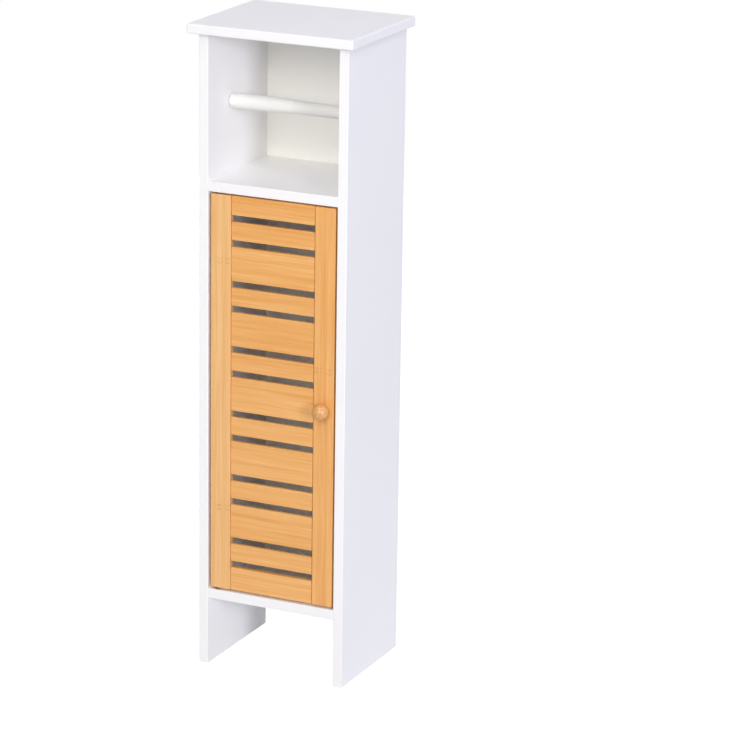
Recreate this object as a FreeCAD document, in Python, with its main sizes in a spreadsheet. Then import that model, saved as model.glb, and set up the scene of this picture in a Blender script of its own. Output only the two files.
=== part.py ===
"""Freestanding toilet roll holder: a narrow white cabinet with an open niche above a slatted bamboo door.

Millimetres. X points to the right, Y to the back and Z up. The origin lies on the floor, under the middle of
the box round the cabinet and its door knob.
"""
import FreeCAD, Part
import math
import os
import re

import Sketcher

Vector = FreeCAD.Vector
Rotation = FreeCAD.Rotation

# The slats alternate, narrow ones at both ends of the stack
NARROW_SLATS = 6
WIDE_SLATS = NARROW_SLATS - 1
SLOTS = NARROW_SLATS + WIDE_SLATS + 1
SPRING_TURNS = 7
STEPS_PER_TURN = 4
POINTS_PER_ARC = 6

# Two lengths in millimetres, or two directions, count as the same within this
CLOSE = 0.01

# Driving dimensions
SIZES = {
    # Top plate, carcass and back
    "plate_width": 210,
    "plate_depth": 170,
    "plate_thickness": 12,
    "plate_round": 2,
    "overall_height": 780,
    "side_overhang": 10,
    "front_overhang": 12,
    "back_overhang": 3,
    "board": 12,
    "board_round": 0.8,
    "leg_clearance": 84,
    "niche_height": 172.5,
    "back_thickness": 3,
    "back_inset": 1,
    "groove_depth": 4,
    "groove_clearance": 0.1,
    # Beech dowels: one end in the flat of a board, the other in an end or edge
    "dowel_diameter": 6,
    "dowel_in_flat": 8,
    "dowel_in_edge": 17,
    "dowel_bevel": 0.8,
    "dowel_inset": 30,
    "dowel_clearance": 0.05,
    "hole_end_space": 0.5,
    # Cam fittings that pull the shelves to the side panels
    "cam_diameter": 12,
    "cam_height": 9.5,
    "cam_setback": 20,
    "cam_clearance": 0.1,
    "cam_slot_length": 7,
    "cam_slot_width": 1.4,
    "cam_slot_depth": 1.6,
    "bolt_diameter": 5,
    "bolt_in_side": 8,
    "bolt_shank": 3.2,
    "bolt_head_length": 3,
    "bolt_clearance": 0.15,
    # Door
    "door_side_gap": 2.8,
    "door_end_gap": 2.4,
    "door_setback": 1.5,
    "door_thickness": 8,
    "door_round": 1,
    "stile_width": 26,
    "top_rail": 23,
    "bottom_rail": 28.5,
    "slot_height": 8,
    "narrow_slat": 21.7,
    "slat_thickness": 5,
    "slat_round": 0.6,
    "infill_recess": 1,
    "tenon_length": 8,
    "tenon_thickness": 3,
    "tenon_shoulder": 3,
    "tenon_clearance": 0.1,
    # Pivot pins in the hinge stile and their bushes in the shelves
    "pivot_inset": 9,
    "pin_diameter": 3,
    "pin_in_stile": 20,
    "pin_in_bush": 8,
    "pin_bevel": 0.5,
    "pin_glue_gap": 0.03,
    "pin_clearance": 0.05,
    "bush_diameter": 6,
    "bush_length": 9,
    "bush_flange": 7.6,
    "bush_clearance": 0.05,
    "bush_play": 0.3,
    # Knob
    "knob_diameter": 20,
    "knob_foot": 12,
    "knob_neck": 0.5,
    "knob_screw": 4,
    "knob_screw_depth": 10,
    "knob_screw_head": 8,
    "knob_screw_head_height": 2.5,
    "screw_clearance": 0.05,
    # Magnet catch under the niche shelf and its strike plate on the door
    "catch_inset": 20.2,
    "catch_width": 26,
    "catch_depth": 13,
    "catch_height": 15,
    "catch_drop": 9,
    "catch_gap": 0.3,
    "catch_clearance": 0.1,
    "ear_width": 9,
    "ear_thickness": 3,
    "magnet_length": 18,
    "magnet_depth": 9,
    "magnet_height": 5,
    "pole_thickness": 1.5,
    "pole_proud": 0.4,
    "catch_screw": 3,
    "catch_screw_depth": 7,
    "catch_screw_head": 5.6,
    "catch_screw_head_height": 1.8,
    "strike_width": 28,
    "strike_height": 12,
    "strike_thickness": 1,
    "strike_screw": 2.8,
    "strike_screw_head": 5.2,
    "strike_screw_depth": 5,
    # Roll rod: two telescopic tubes pushed apart by a spring
    "rod_setback": 58,
    "rod_height": 84.5,
    "rod_end_gap": 0.4,
    "rod_end_wall": 3,
    "rod_pin": 8,
    "rod_pin_length": 6,
    "rod_pin_clearance": 0.05,
    "rod_nose_step": 0.6,
    "rod_nose_length": 18,
    "rod_nose_round": 2.5,
    "rod_core": 9,
    "rod_outer_diameter": 18,
    "rod_outer_length": 83,
    "rod_outer_bore": 15.8,
    "rod_taper": 28,
    "rod_lip": 0.4,
    "rod_slide_clearance": 0.08,
    "rod_inner_length": 125,
    "rod_inner_bore": 12.8,
    "spring_diameter": 14,
    "spring_wire": 1.1,
    "spring_seat_gap": 0.3,
}

# Sizes and places that follow from the driving dimensions
PLACES = {
    "carcass_width": "plate_width - 2 * side_overhang",
    "carcass_depth": "plate_depth - front_overhang - back_overhang",
    "knob_middle": "knob_neck + (knob_diameter ^ 2 - knob_foot ^ 2) ^ 0.5 / 2",
    "knob_reach": "knob_middle + knob_diameter / 2",
    "carcass_front": "(knob_reach - door_setback - carcass_depth - back_overhang) / 2",
    "carcass_back": "carcass_front + carcass_depth",
    "side_height": "overall_height - plate_thickness",
    "inner_width": "carcass_width - 2 * board",
    "inner_right": "inner_width / 2",
    "niche_floor": "side_height - niche_height",
    "shelf_under": "niche_floor - board",
    "cabinet_floor": "leg_clearance + board",
    "back_front": "carcass_back - back_inset - back_thickness",
    "shelf_depth": "back_front - carcass_front",
    "door_width": "inner_width - 2 * door_side_gap",
    "door_right": "door_width / 2",
    "door_front": "carcass_front + door_setback",
    "door_back": "door_front + door_thickness",
    "door_bottom": "cabinet_floor + door_end_gap",
    "door_top": "shelf_under - door_end_gap",
    "door_height": "door_top - door_bottom",
    "infill_width": "door_width - 2 * stile_width",
    "rail_thickness": "door_thickness - infill_recess",
    "slatted_height": "door_height - top_rail - bottom_rail",
    "wide_slat": f"(slatted_height - {SLOTS} * slot_height - {NARROW_SLATS} * narrow_slat) / {WIDE_SLATS}",
    "slat_pitch": "narrow_slat + wide_slat + 2 * slot_height",
    "first_slat": "bottom_rail + slot_height",
    "tenon_front": "infill_recess + (slat_thickness - tenon_thickness) / 2",
    "pivot_across": "pivot_inset - door_right",
    "pivot_front": "door_front + door_thickness / 2",
    "flange_thickness": "door_end_gap - bush_play",
    "knob_across": "door_right - stile_width / 2",
    "knob_up": "door_bottom + door_height / 2",
    "catch_offset": "infill_width / 2 - catch_inset",
    "catch_front": "door_back + strike_thickness + catch_gap",
    "housing_front": "catch_front + pole_proud",
    "housing_middle": "housing_front + catch_depth / 2",
    "catch_middle": "shelf_under - catch_drop",
    "ear_middle": "(catch_width + ear_width) / 2",
    "rod_front": "carcass_front + rod_setback",
    "rod_up": "niche_floor + rod_height",
    "rod_right_end": "inner_right - rod_end_gap",
    "rod_inner_diameter": "rod_outer_bore - 2 * rod_slide_clearance",
    "spring_left": "rod_nose_length + spring_seat_gap - rod_right_end",
    "spring_right": "rod_right_end - rod_inner_length - spring_seat_gap",
}
OWNER = {name: "Sizes" for name in SIZES}
OWNER.update({name: "Places" for name in PLACES})

doc = FreeCAD.newDocument("RollHolder")
pieces = []


def spelled(text):
    """The text with the name of its sheet before each dimension."""
    return re.sub(r"[a-z_]+", lambda word: OWNER[word.group()] + "." + word.group(), text)


def write_sheet(title, cells):
    """A sheet with a name in column A and its value, under that name, in column B."""
    sheet = doc.addObject("Spreadsheet::Sheet", title)
    for row, (name, value) in enumerate(cells.items(), start=1):
        sheet.set(f"A{row}", name)
        sheet.set(f"B{row}", value)
        sheet.setAlias(f"B{row}", name)
    doc.recompute()
    return sheet


write_sheet("Sizes", {name: str(value) for name, value in SIZES.items()})
places = write_sheet("Places", {name: "=" + spelled(text) for name, text in PLACES.items()})


def number(text):
    """The value that a text of dimensions has now."""
    return float(places.evalExpression(spelled(text)))


def bind(thing, prop, text):
    """Ties a property to a text of dimensions."""
    thing.setExpression(prop, spelled(text))


def place(thing, corner, turn=None):
    """Puts a thing's own origin at a corner, given as three texts, and turns it there."""
    thing.Placement.Rotation = turn or Rotation()
    for axis, text in zip("xyz", corner):
        bind(thing, "Placement.Base." + axis, text)


def keep(piece, label):
    """Names a finished sub-part and lists it for the files."""
    piece.Label = label
    pieces.append(piece)
    return piece


# Turns that lay a piece's own Z axis along another direction
TO_RIGHT = Rotation(Vector(0, 1, 0), 90)
TO_LEFT = Rotation(Vector(0, 1, 0), -90)
TO_FRONT = Rotation(Vector(1, 0, 0), 90)
DOWNWARDS = Rotation(Vector(1, 0, 0), 180)


def new_body(name, corner, turn=None):
    """An empty body with its origin at a corner."""
    body = doc.addObject("PartDesign::Body", name)
    place(body, corner, turn)
    return body


def new_sketch(body, plane, offset="0"):
    """A sketch on one of the body's own planes, moved along its normal."""
    sketch = body.newObject("Sketcher::SketchObject", body.Name + "_sketch")
    flat = [item for item in body.Origin.OriginFeatures if item.Role == plane][0]
    sketch.AttachmentSupport = [(flat, "")]
    sketch.MapMode = "FlatFace"
    bind(sketch, "AttachmentOffset.Base.z", offset)
    return sketch


def fix_point(sketch, line, end, across, up):
    """Holds a point of a line at two texts, measured from the sketch's origin."""
    for kind, axis, text in (("DistanceX", -2, across), ("DistanceY", -1, up)):
        if text == "0":
            sketch.addConstraint(Sketcher.Constraint("PointOnObject", line, end, axis))
        else:
            rule = sketch.addConstraint(Sketcher.Constraint(kind, -1, 1, line, end, number(text)))
            bind(sketch, f"Constraints[{rule}]", text)


def draw_outline(sketch, points):
    """Draws a closed outline through points, each a pair of texts."""
    spots = [Vector(number(across), number(up), 0) for across, up in points]
    count = len(spots)
    sides = [Part.LineSegment(spots[i], spots[(i + 1) % count]) for i in range(count)]
    first = sketch.addGeometry(sides, False)[0]
    for i in range(count):
        sketch.addConstraint(Sketcher.Constraint("Coincident", first + i, 2, first + (i + 1) % count, 1))
    for i, (across, up) in enumerate(points):
        fix_point(sketch, first + i, 1, across, up)


def draw_rectangle(sketch, left, low, width, height):
    """Draws a rectangle from its lower left corner."""
    right = width if left == "0" else f"{left} + {width}"
    high = height if low == "0" else f"{low} + {height}"
    draw_outline(sketch, [(left, low), (right, low), (right, high), (left, high)])


def draw_circle(sketch, across, up, diameter):
    """Draws a circle round a centre."""
    middle = Vector(number(across), number(up), 0)
    ring = sketch.addGeometry(Part.Circle(middle, Vector(0, 0, 1), number(diameter) / 2), False)
    rule = sketch.addConstraint(Sketcher.Constraint("Diameter", ring, number(diameter)))
    bind(sketch, f"Constraints[{rule}]", diameter)
    fix_point(sketch, ring, 3, across, up)


def pad(body, sketch, length):
    """Adds a sketch's area, drawn out to a length."""
    feature = body.newObject("PartDesign::Pad", body.Name + "_pad")
    feature.Profile = sketch
    bind(feature, "Length", length)
    doc.recompute()
    return feature


def pocket(body, sketch, depth, along_normal):
    """Cuts a sketch's area to a depth, along the sketch's normal or against it."""
    before = body.Shape.Volume
    feature = body.newObject("PartDesign::Pocket", body.Name + "_pocket")
    feature.Profile = sketch
    feature.Reversed = along_normal
    bind(feature, "Length", depth)
    doc.recompute()
    if body.Shape.Volume >= before:
        raise RuntimeError("a pocket in " + body.Name + " cuts nothing")
    return feature


def drill(body, plane, offset, along_normal, centres, diameter, depth):
    """Drills like holes at centres on one plane of a body."""
    sketch = new_sketch(body, plane, offset)
    for across, up in centres:
        draw_circle(sketch, across, up, diameter)
    return pocket(body, sketch, depth, along_normal)


def round_edges(body, radius, chosen):
    """Rounds the edges of the body's last feature that the test picks by their middle and direction."""
    base = body.Tip
    names = []
    for index, edge in enumerate(base.Shape.Edges, start=1):
        if chosen(edge):
            names.append(f"Edge{index}")
    feature = body.newObject("PartDesign::Fillet", body.Name + "_fillet")
    feature.Base = (base, names)
    bind(feature, "Radius", radius)
    doc.recompute()
    return feature


def runs_along(edge, axis):
    """Whether a straight edge lies along an axis."""
    if edge.Curve.TypeId != "Part::GeomLine":
        return False
    return edge.Curve.Direction.cross(axis).Length < CLOSE


def at(value, text):
    """Whether a coordinate is at a place."""
    return abs(value - number(text)) < CLOSE


def turned(name, outline, corner, turn=None):
    """A turned body: an outline of radius and height, spun round the body's Z axis."""
    body = new_body(name, corner, turn)
    sketch = new_sketch(body, "XZ_Plane")
    draw_outline(sketch, outline)
    feature = body.newObject("PartDesign::Revolution", name + "_turning")
    feature.Profile = sketch
    feature.ReferenceAxis = (sketch, ["V_Axis"])
    feature.Angle = 360
    doc.recompute()
    return body


def block(name, size, corner):
    """A plain block with its lowest corner at a place."""
    piece = doc.addObject("Part::Box", name)
    for prop, text in zip(("Length", "Width", "Height"), size):
        bind(piece, prop, text)
    place(piece, corner)
    return piece


def round_bar(name, diameter, length, corner, turn=None):
    """A plain round bar that starts at a place."""
    piece = doc.addObject("Part::Cylinder", name)
    bind(piece, "Radius", f"({diameter}) / 2")
    bind(piece, "Height", length)
    place(piece, corner, turn)
    return piece


def group(name, members):
    """Like solids that share one node."""
    piece = doc.addObject("Part::Compound", name)
    piece.Links = members
    return piece


def cut(name, base, tools):
    """A piece with tools taken out of it."""
    piece = doc.addObject("Part::Cut", name)
    piece.Base = base
    piece.Tool = group(name + "_tools", tools)
    return piece


def fuse(name, members):
    """Pieces joined into one solid."""
    piece = doc.addObject("Part::MultiFuse", name)
    piece.Shapes = members
    piece.Refine = True
    return piece


# Places along the depth where the carcass is dowelled, measured from its front
TOP_DOWELS = ["dowel_inset", "carcass_depth / 2", "carcass_depth - dowel_inset"]
SHELF_DOWELS = ["dowel_inset", "shelf_depth - dowel_inset"]
SHELF_BOLT = "shelf_depth / 2"
SHELVES = {"bottom_shelf": "leg_clearance", "niche_shelf": "shelf_under"}
DOWEL_HOLE = "dowel_diameter + 2 * dowel_clearance"
FLAT_HOLE = "dowel_in_flat + hole_end_space"
EDGE_HOLE = "dowel_in_edge + hole_end_space"


def top_panel():
    """The top plate, rounded all over, with blind dowel holes in its underside."""
    body = new_body("top_panel", ("-plate_width / 2", "carcass_front - front_overhang", "side_height"))
    sketch = new_sketch(body, "XY_Plane")
    draw_rectangle(sketch, "0", "0", "plate_width", "plate_depth")
    pad(body, sketch, "plate_thickness")
    round_edges(body, "plate_round", lambda edge: True)
    centres = []
    for along in TOP_DOWELS:
        centres.append(("side_overhang + board / 2", "front_overhang + " + along))
        centres.append(("plate_width - side_overhang - board / 2", "front_overhang + " + along))
    drill(body, "XY_Plane", "0", True, centres, DOWEL_HOLE, FLAT_HOLE)
    keep(body, "top_panel")


def side_panel(label, corner, inner_face, into_panel):
    """A side panel from the floor to the top plate, with the holes and the back groove of its inner face."""
    body = new_body(label, (corner, "carcass_front", "0"))
    sketch = new_sketch(body, "XY_Plane")
    draw_rectangle(sketch, "0", "0", "board", "carcass_depth")
    pad(body, sketch, "side_height")
    round_edges(body, "board_round",
                lambda edge: runs_along(edge, Vector(0, 0, 1)) and at(edge.CenterOfMass.y, "0"))
    groove = new_sketch(body, "YZ_Plane", inner_face)
    draw_rectangle(groove, "carcass_depth - back_inset - back_thickness - groove_clearance",
                   "leg_clearance - groove_clearance",
                   "back_thickness + 2 * groove_clearance",
                   "side_height - leg_clearance + groove_clearance")
    pocket(body, groove, "groove_depth", into_panel)
    dowels = []
    bolts = []
    for underside in SHELVES.values():
        for along in SHELF_DOWELS:
            dowels.append((along, underside + " + board / 2"))
        bolts.append((SHELF_BOLT, underside + " + board / 2"))
    drill(body, "YZ_Plane", inner_face, into_panel, dowels, DOWEL_HOLE, FLAT_HOLE)
    drill(body, "YZ_Plane", inner_face, into_panel, bolts, "bolt_diameter + 2 * screw_clearance",
          "bolt_in_side + hole_end_space")
    drill(body, "YZ_Plane", inner_face, into_panel, [("rod_setback", "rod_up")],
          "rod_pin + 2 * rod_pin_clearance", "rod_pin_length + hole_end_space")
    drill(body, "XY_Plane", "side_height", False, [("board / 2", along) for along in TOP_DOWELS],
          DOWEL_HOLE, EDGE_HOLE)
    keep(body, label)


def shelf(label, underside, bush_plane, bush_along_normal, screws):
    """A shelf between the side panels, drilled for its dowels, cam fittings and pivot bush."""
    body = new_body(label, ("-inner_right", "carcass_front", underside))
    sketch = new_sketch(body, "XY_Plane")
    draw_rectangle(sketch, "0", "0", "inner_width", "shelf_depth")
    pad(body, sketch, "board")
    round_edges(body, "board_round",
                lambda edge: runs_along(edge, Vector(1, 0, 0)) and at(edge.CenterOfMass.y, "0"))
    for end, inwards in (("0", True), ("inner_width", False)):
        drill(body, "YZ_Plane", end, inwards, [(along, "board / 2") for along in SHELF_DOWELS],
              DOWEL_HOLE, EDGE_HOLE)
        drill(body, "YZ_Plane", end, inwards, [(SHELF_BOLT, "board / 2")],
              "bolt_diameter + 2 * bolt_clearance", "cam_setback")
    cams = [("cam_setback", SHELF_BOLT), ("inner_width - cam_setback", SHELF_BOLT)]
    drill(body, "XY_Plane", "0", True, cams,
          "cam_diameter + 2 * cam_clearance", "cam_height + cam_clearance")
    pivot = ("door_side_gap + pivot_inset", "door_setback + door_thickness / 2")
    drill(body, "XY_Plane", bush_plane, bush_along_normal, [pivot],
          "bush_diameter + 2 * bush_clearance", "bush_length + hole_end_space")
    if screws:
        drill(body, "XY_Plane", "0", True, screws, "catch_screw + 2 * screw_clearance",
              "catch_screw_depth + hole_end_space")
    keep(body, label)


def shelves():
    """The shelf under the roll niche and the one above the legs."""
    middle = "housing_middle - carcass_front"
    screws = [(f"inner_right + catch_offset {sign} ear_middle", middle) for sign in "-+"]
    shelf("niche_shelf", SHELVES["niche_shelf"], "0", True, screws)
    shelf("bottom_shelf", SHELVES["bottom_shelf"], "board", False, [])


def back_panel():
    """The thin back, held in the grooves of the side panels."""
    width = "inner_width + 2 * (groove_depth - groove_clearance)"
    piece = block("back_panel", (width, "back_thickness", "side_height - leg_clearance"),
                  (f"-({width}) / 2", "back_front", "leg_clearance"))
    keep(piece, "back_panel")


def dowel(name, corner, turn=None):
    """A dowel with bevelled ends, from its end in the flat of a board."""
    radius = "dowel_diameter / 2"
    length = "dowel_in_flat + dowel_in_edge"
    outline = [("0", "0"), (radius + " - dowel_bevel", "0"), (radius, "dowel_bevel"),
               (radius, length + " - dowel_bevel"), (radius + " - dowel_bevel", length), ("0", length)]
    return turned(name, outline, corner, turn)


def dowels():
    """The dowels of the top plate and of the two shelves, a node for each kind of joint."""
    members = []
    for across in ("(board - carcass_width) / 2", "(carcass_width - board) / 2"):
        for along in TOP_DOWELS:
            corner = (across, "carcass_front + " + along, "side_height + dowel_in_flat")
            members.append(dowel("top_dowel", corner, DOWNWARDS))
    keep(group("top_dowel_group", members), "top_dowels")
    members = []
    for underside in SHELVES.values():
        ends = (("-inner_right - dowel_in_flat", TO_RIGHT), ("inner_right + dowel_in_flat", TO_LEFT))
        for across, turn in ends:
            for along in SHELF_DOWELS:
                corner = (across, "carcass_front + " + along, underside + " + board / 2")
                members.append(dowel("shelf_dowel", corner, turn))
    keep(group("shelf_dowel_group", members), "shelf_dowels")


def cam_bolt(corner, turn):
    """A connecting bolt from its threaded end: thread, shank and the head that the cam grips."""
    thread = "bolt_diameter / 2"
    shank = "bolt_shank / 2"
    head_start = "bolt_in_side + cam_setback - bolt_head_length / 2"
    head_end = "bolt_in_side + cam_setback + bolt_head_length / 2"
    outline = [("0", "0"), (thread, "0"), (thread, "bolt_in_side"), (shank, "bolt_in_side"),
               (shank, head_start), (thread, head_start), (thread, head_end), ("0", head_end)]
    return turned("cam_bolt", outline, corner, turn)


def cam_disc(across, underside, bore_corner, turn):
    """A cam disc, flush with the shelf's underside, with a bore for the bolt's head and a driver slot."""
    along = "carcass_front + " + SHELF_BOLT
    disc = round_bar("cam_body", "cam_diameter", "cam_height", (across, along, underside))
    bore = round_bar("cam_bore", "bolt_diameter + 2 * bolt_clearance",
                     "cam_setback + bolt_head_length / 2 + bolt_clearance",
                     (bore_corner, along, underside + " + board / 2"), turn)
    slot = block("cam_slot", ("cam_slot_length", "cam_slot_width", "cam_slot_depth"),
                 (across + " - cam_slot_length / 2", along + " - cam_slot_width / 2", underside))
    return cut("cam_disc", disc, [bore, slot])


def cam_fittings():
    """The bolts in the side panels and the cam discs in the undersides of the shelves."""
    bolts = []
    discs = []
    for underside in SHELVES.values():
        up = underside + " + board / 2"
        along = "carcass_front + " + SHELF_BOLT
        bolts.append(cam_bolt(("-inner_right - bolt_in_side", along, up), TO_RIGHT))
        bolts.append(cam_bolt(("inner_right + bolt_in_side", along, up), TO_LEFT))
        discs.append(cam_disc("cam_setback - inner_right", underside, "-inner_right", TO_RIGHT))
        discs.append(cam_disc("inner_right - cam_setback", underside, "inner_right", TO_LEFT))
    keep(group("cam_bolt_group", bolts), "cam_bolts")
    keep(group("cam_disc_group", discs), "cam_discs")


def door_bars():
    """Name, height above the door's lower edge, height and thickness of each bar between the stiles."""
    bars = [("door_bottom_rail", "0", "bottom_rail", "rail_thickness"),
            ("door_top_rail", "door_height - top_rail", "top_rail", "rail_thickness")]
    for i in range(NARROW_SLATS):
        low = f"first_slat + {i} * slat_pitch"
        bars.append((f"narrow_slat_{i + 1}", low, "narrow_slat", "slat_thickness"))
    for i in range(WIDE_SLATS):
        low = f"first_slat + narrow_slat + slot_height + {i} * slat_pitch"
        bars.append((f"wide_slat_{i + 1}", low, "wide_slat", "slat_thickness"))
    return bars


def stile(label, corner, inner_face, into_stile, outer_edge):
    """A door stile with a mortise for each bar; its outer edges are rounded so that they clear the panel."""
    body = new_body(label, (corner, "door_front", "door_bottom"))
    sketch = new_sketch(body, "XY_Plane")
    draw_rectangle(sketch, "0", "0", "stile_width", "door_thickness")
    pad(body, sketch, "door_height")
    round_edges(body, "door_round",
                lambda edge: runs_along(edge, Vector(0, 0, 1)) and at(edge.CenterOfMass.x, outer_edge))
    mortises = new_sketch(body, "YZ_Plane", inner_face)
    for _, low, height, _ in door_bars():
        draw_rectangle(mortises, "tenon_front - tenon_clearance", low + " + tenon_shoulder - tenon_clearance",
                       "tenon_thickness + 2 * tenon_clearance",
                       height + " - 2 * tenon_shoulder + 2 * tenon_clearance")
    pocket(body, mortises, "tenon_length + tenon_clearance", into_stile)
    keep(body, label)
    return body


def stiles():
    """The stile that turns on the pivot pins and the one that carries the knob."""
    hinge = stile("hinge_stile", "-door_right", "stile_width", False, "0")
    pivot = [("pivot_inset", "door_thickness / 2")]
    for end, inwards in (("0", True), ("door_height", False)):
        drill(hinge, "XY_Plane", end, inwards, pivot, "pin_diameter + 2 * pin_glue_gap",
              "pin_in_stile + hole_end_space")
    lock = stile("knob_stile", "door_right - stile_width", "0", True, "stile_width")
    drill(lock, "XZ_Plane", "0", False, [("stile_width / 2", "knob_up - door_bottom")],
          "knob_screw + 2 * screw_clearance", "door_thickness")


def bar(label, low, height, thickness):
    """A rail or slat with a tenon at each end and eased front edges."""
    body = new_body(label, ("-infill_width / 2", "door_front + infill_recess", "door_bottom + " + low))
    sketch = new_sketch(body, "XY_Plane")
    draw_rectangle(sketch, "0", "0", "infill_width", thickness)
    pad(body, sketch, height)
    round_edges(body, "slat_round",
                lambda edge: runs_along(edge, Vector(1, 0, 0)) and at(edge.CenterOfMass.y, "0"))
    tenons = new_sketch(body, "YZ_Plane", "-tenon_length")
    draw_rectangle(tenons, "tenon_front - infill_recess", "tenon_shoulder",
                   "tenon_thickness", height + " - 2 * tenon_shoulder")
    pad(body, tenons, "infill_width + 2 * tenon_length")
    keep(body, label)
    return body


def rails_and_slats():
    """The bars of the door; the top rail also holds the strike plate's screw."""
    for label, low, height, thickness in door_bars():
        body = bar(label, low, height, thickness)
        if label == "door_top_rail":
            centre = ("infill_width / 2 + catch_offset", "catch_middle - door_top + top_rail")
            drill(body, "XZ_Plane", "-rail_thickness", True, [centre], "strike_screw + 2 * screw_clearance",
                  "strike_screw_depth + hole_end_space")


def pivots():
    """The steel pins of the hinge stile and the flanged plastic bushes that they turn in."""
    radius = "pin_diameter / 2"
    length = "pin_in_bush + door_end_gap + pin_in_stile"
    pin = [("0", "0"), (radius + " - pin_bevel", "0"), (radius, "pin_bevel"),
           (radius, length + " - pin_bevel"), (radius + " - pin_bevel", length), ("0", length)]
    bore = "pin_diameter / 2 + pin_clearance"
    over = "bush_length + flange_thickness"
    bush = [(bore, "0"), ("bush_diameter / 2", "0"), ("bush_diameter / 2", "bush_length"),
            ("bush_flange / 2", "bush_length"), ("bush_flange / 2", over), (bore, over)]
    levels = (("lower", "cabinet_floor", "-", None), ("upper", "shelf_under", "+", DOWNWARDS))
    for level, face, sign, turn in levels:
        pin_corner = ("pivot_across", "pivot_front", f"{face} {sign} pin_in_bush")
        bush_corner = ("pivot_across", "pivot_front", f"{face} {sign} bush_length")
        keep(turned(level + "_pivot_pin", pin, pin_corner, turn), level + "_pivot_pin")
        keep(turned(level + "_pivot_bush", bush, bush_corner, turn), level + "_pivot_bush")


def knob():
    """The turned ball knob, flat where it meets the stile, with a blind hole for its screw."""
    body = new_body("door_knob", ("knob_across", "door_front", "knob_up"), TO_FRONT)
    sketch = new_sketch(body, "XZ_Plane")
    foot = number("knob_foot") / 2
    neck = number("knob_neck")
    middle = number("knob_middle")
    low = math.atan2(neck - middle, foot)
    circle = Part.Circle(Vector(0, middle, 0), Vector(0, 0, 1), number("knob_diameter") / 2)
    spots = [Vector(0, 0, 0), Vector(foot, 0, 0), Vector(foot, neck, 0), Vector(0, number("knob_reach"), 0)]
    sketch.addGeometry([
        Part.LineSegment(spots[0], spots[1]),
        Part.LineSegment(spots[1], spots[2]),
        Part.ArcOfCircle(circle, low, math.pi / 2),
        Part.LineSegment(spots[3], spots[0]),
    ], False)
    face, side, arc, axis = range(4)
    sketch.addConstraint([
        Sketcher.Constraint("Coincident", face, 2, side, 1),
        Sketcher.Constraint("Coincident", side, 2, arc, 1),
        Sketcher.Constraint("Coincident", arc, 2, axis, 1),
        Sketcher.Constraint("Coincident", axis, 2, face, 1),
        Sketcher.Constraint("Coincident", face, 1, -1, 1),
        Sketcher.Constraint("Horizontal", face),
        Sketcher.Constraint("Vertical", side),
        Sketcher.Constraint("Vertical", axis),
    ])
    fix_point(sketch, arc, 3, "0", "knob_middle")
    for kind, line, text in (("Radius", arc, "knob_diameter / 2"), ("Distance", face, "knob_foot / 2")):
        rule = sketch.addConstraint(Sketcher.Constraint(kind, line, number(text)))
        bind(sketch, f"Constraints[{rule}]", text)
    feature = body.newObject("PartDesign::Revolution", "knob_turning")
    feature.Profile = sketch
    feature.ReferenceAxis = (sketch, ["V_Axis"])
    feature.Angle = 360
    doc.recompute()
    drill(body, "XY_Plane", "0", True, [("0", "0")], "knob_screw + 2 * screw_clearance",
          "knob_screw_depth + hole_end_space")
    keep(body, "door_knob")


def pan_screw(name, shank, head, head_height, length, corner, turn=None):
    """A pan-head screw from the top of its head."""
    end = f"{head_height} + {length}"
    outline = [("0", "0"), (head + " / 2", "0"), (head + " / 2", head_height), (shank + " / 2", head_height),
               (shank + " / 2", end), ("0", end)]
    return turned(name, outline, corner, turn)


def knob_screw():
    """The screw that holds the knob, driven from the back of the stile."""
    corner = ("knob_across", "door_back + knob_screw_head_height", "knob_up")
    screw = pan_screw("knob_screw", "knob_screw", "knob_screw_head", "knob_screw_head_height",
                      "door_thickness + knob_screw_depth", corner, TO_FRONT)
    keep(screw, "knob_screw")


def catch_housing():
    """The moulded housing of the magnet catch, with an ear for a screw at each side."""
    left = "catch_offset - catch_width / 2"
    case = block("catch_case", ("catch_width", "catch_depth", "catch_height"),
                 (left, "housing_front", "shelf_under - catch_height"))
    ears = block("catch_ears", ("catch_width + 2 * ear_width", "catch_depth", "ear_thickness"),
                 (left + " - ear_width", "housing_front", "shelf_under - ear_thickness"))
    room = block("catch_room",
                 ("magnet_length + 2 * catch_clearance", "magnet_depth + catch_clearance",
                  "magnet_height + 2 * pole_thickness + 2 * catch_clearance"),
                 ("catch_offset - magnet_length / 2 - catch_clearance", "housing_front",
                  "catch_middle - magnet_height / 2 - pole_thickness - catch_clearance"))
    holes = []
    for sign in "-+":
        corner = (f"catch_offset {sign} ear_middle", "housing_middle", "shelf_under - ear_thickness")
        holes.append(round_bar("ear_hole", "catch_screw + 2 * catch_clearance", "ear_thickness", corner))
    keep(cut("catch_shell", fuse("catch_blank", [case, ears]), [room] + holes), "magnet_catch_housing")


def catch_magnet():
    """The magnet between its two pole plates."""
    left = "catch_offset - magnet_length / 2"
    low = "catch_middle - magnet_height / 2"
    magnet = block("magnet", ("magnet_length", "magnet_depth", "magnet_height"), (left, "housing_front", low))
    keep(magnet, "catch_magnet")
    size = ("magnet_length", "magnet_depth + pole_proud", "pole_thickness")
    poles = [block("pole", size, (left, "catch_front", low + " - pole_thickness")),
             block("pole", size, (left, "catch_front", low + " + magnet_height"))]
    keep(group("pole_group", poles), "magnet_pole_plates")


def catch_screws():
    """The two screws that hold the catch up against the niche shelf."""
    screws = []
    for sign in "-+":
        corner = (f"catch_offset {sign} ear_middle", "housing_middle",
                  "shelf_under - ear_thickness - catch_screw_head_height")
        screws.append(pan_screw("catch_screw", "catch_screw", "catch_screw_head", "catch_screw_head_height",
                                "ear_thickness + catch_screw_depth", corner))
    keep(group("catch_screw_group", screws), "magnet_catch_screws")


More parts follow.
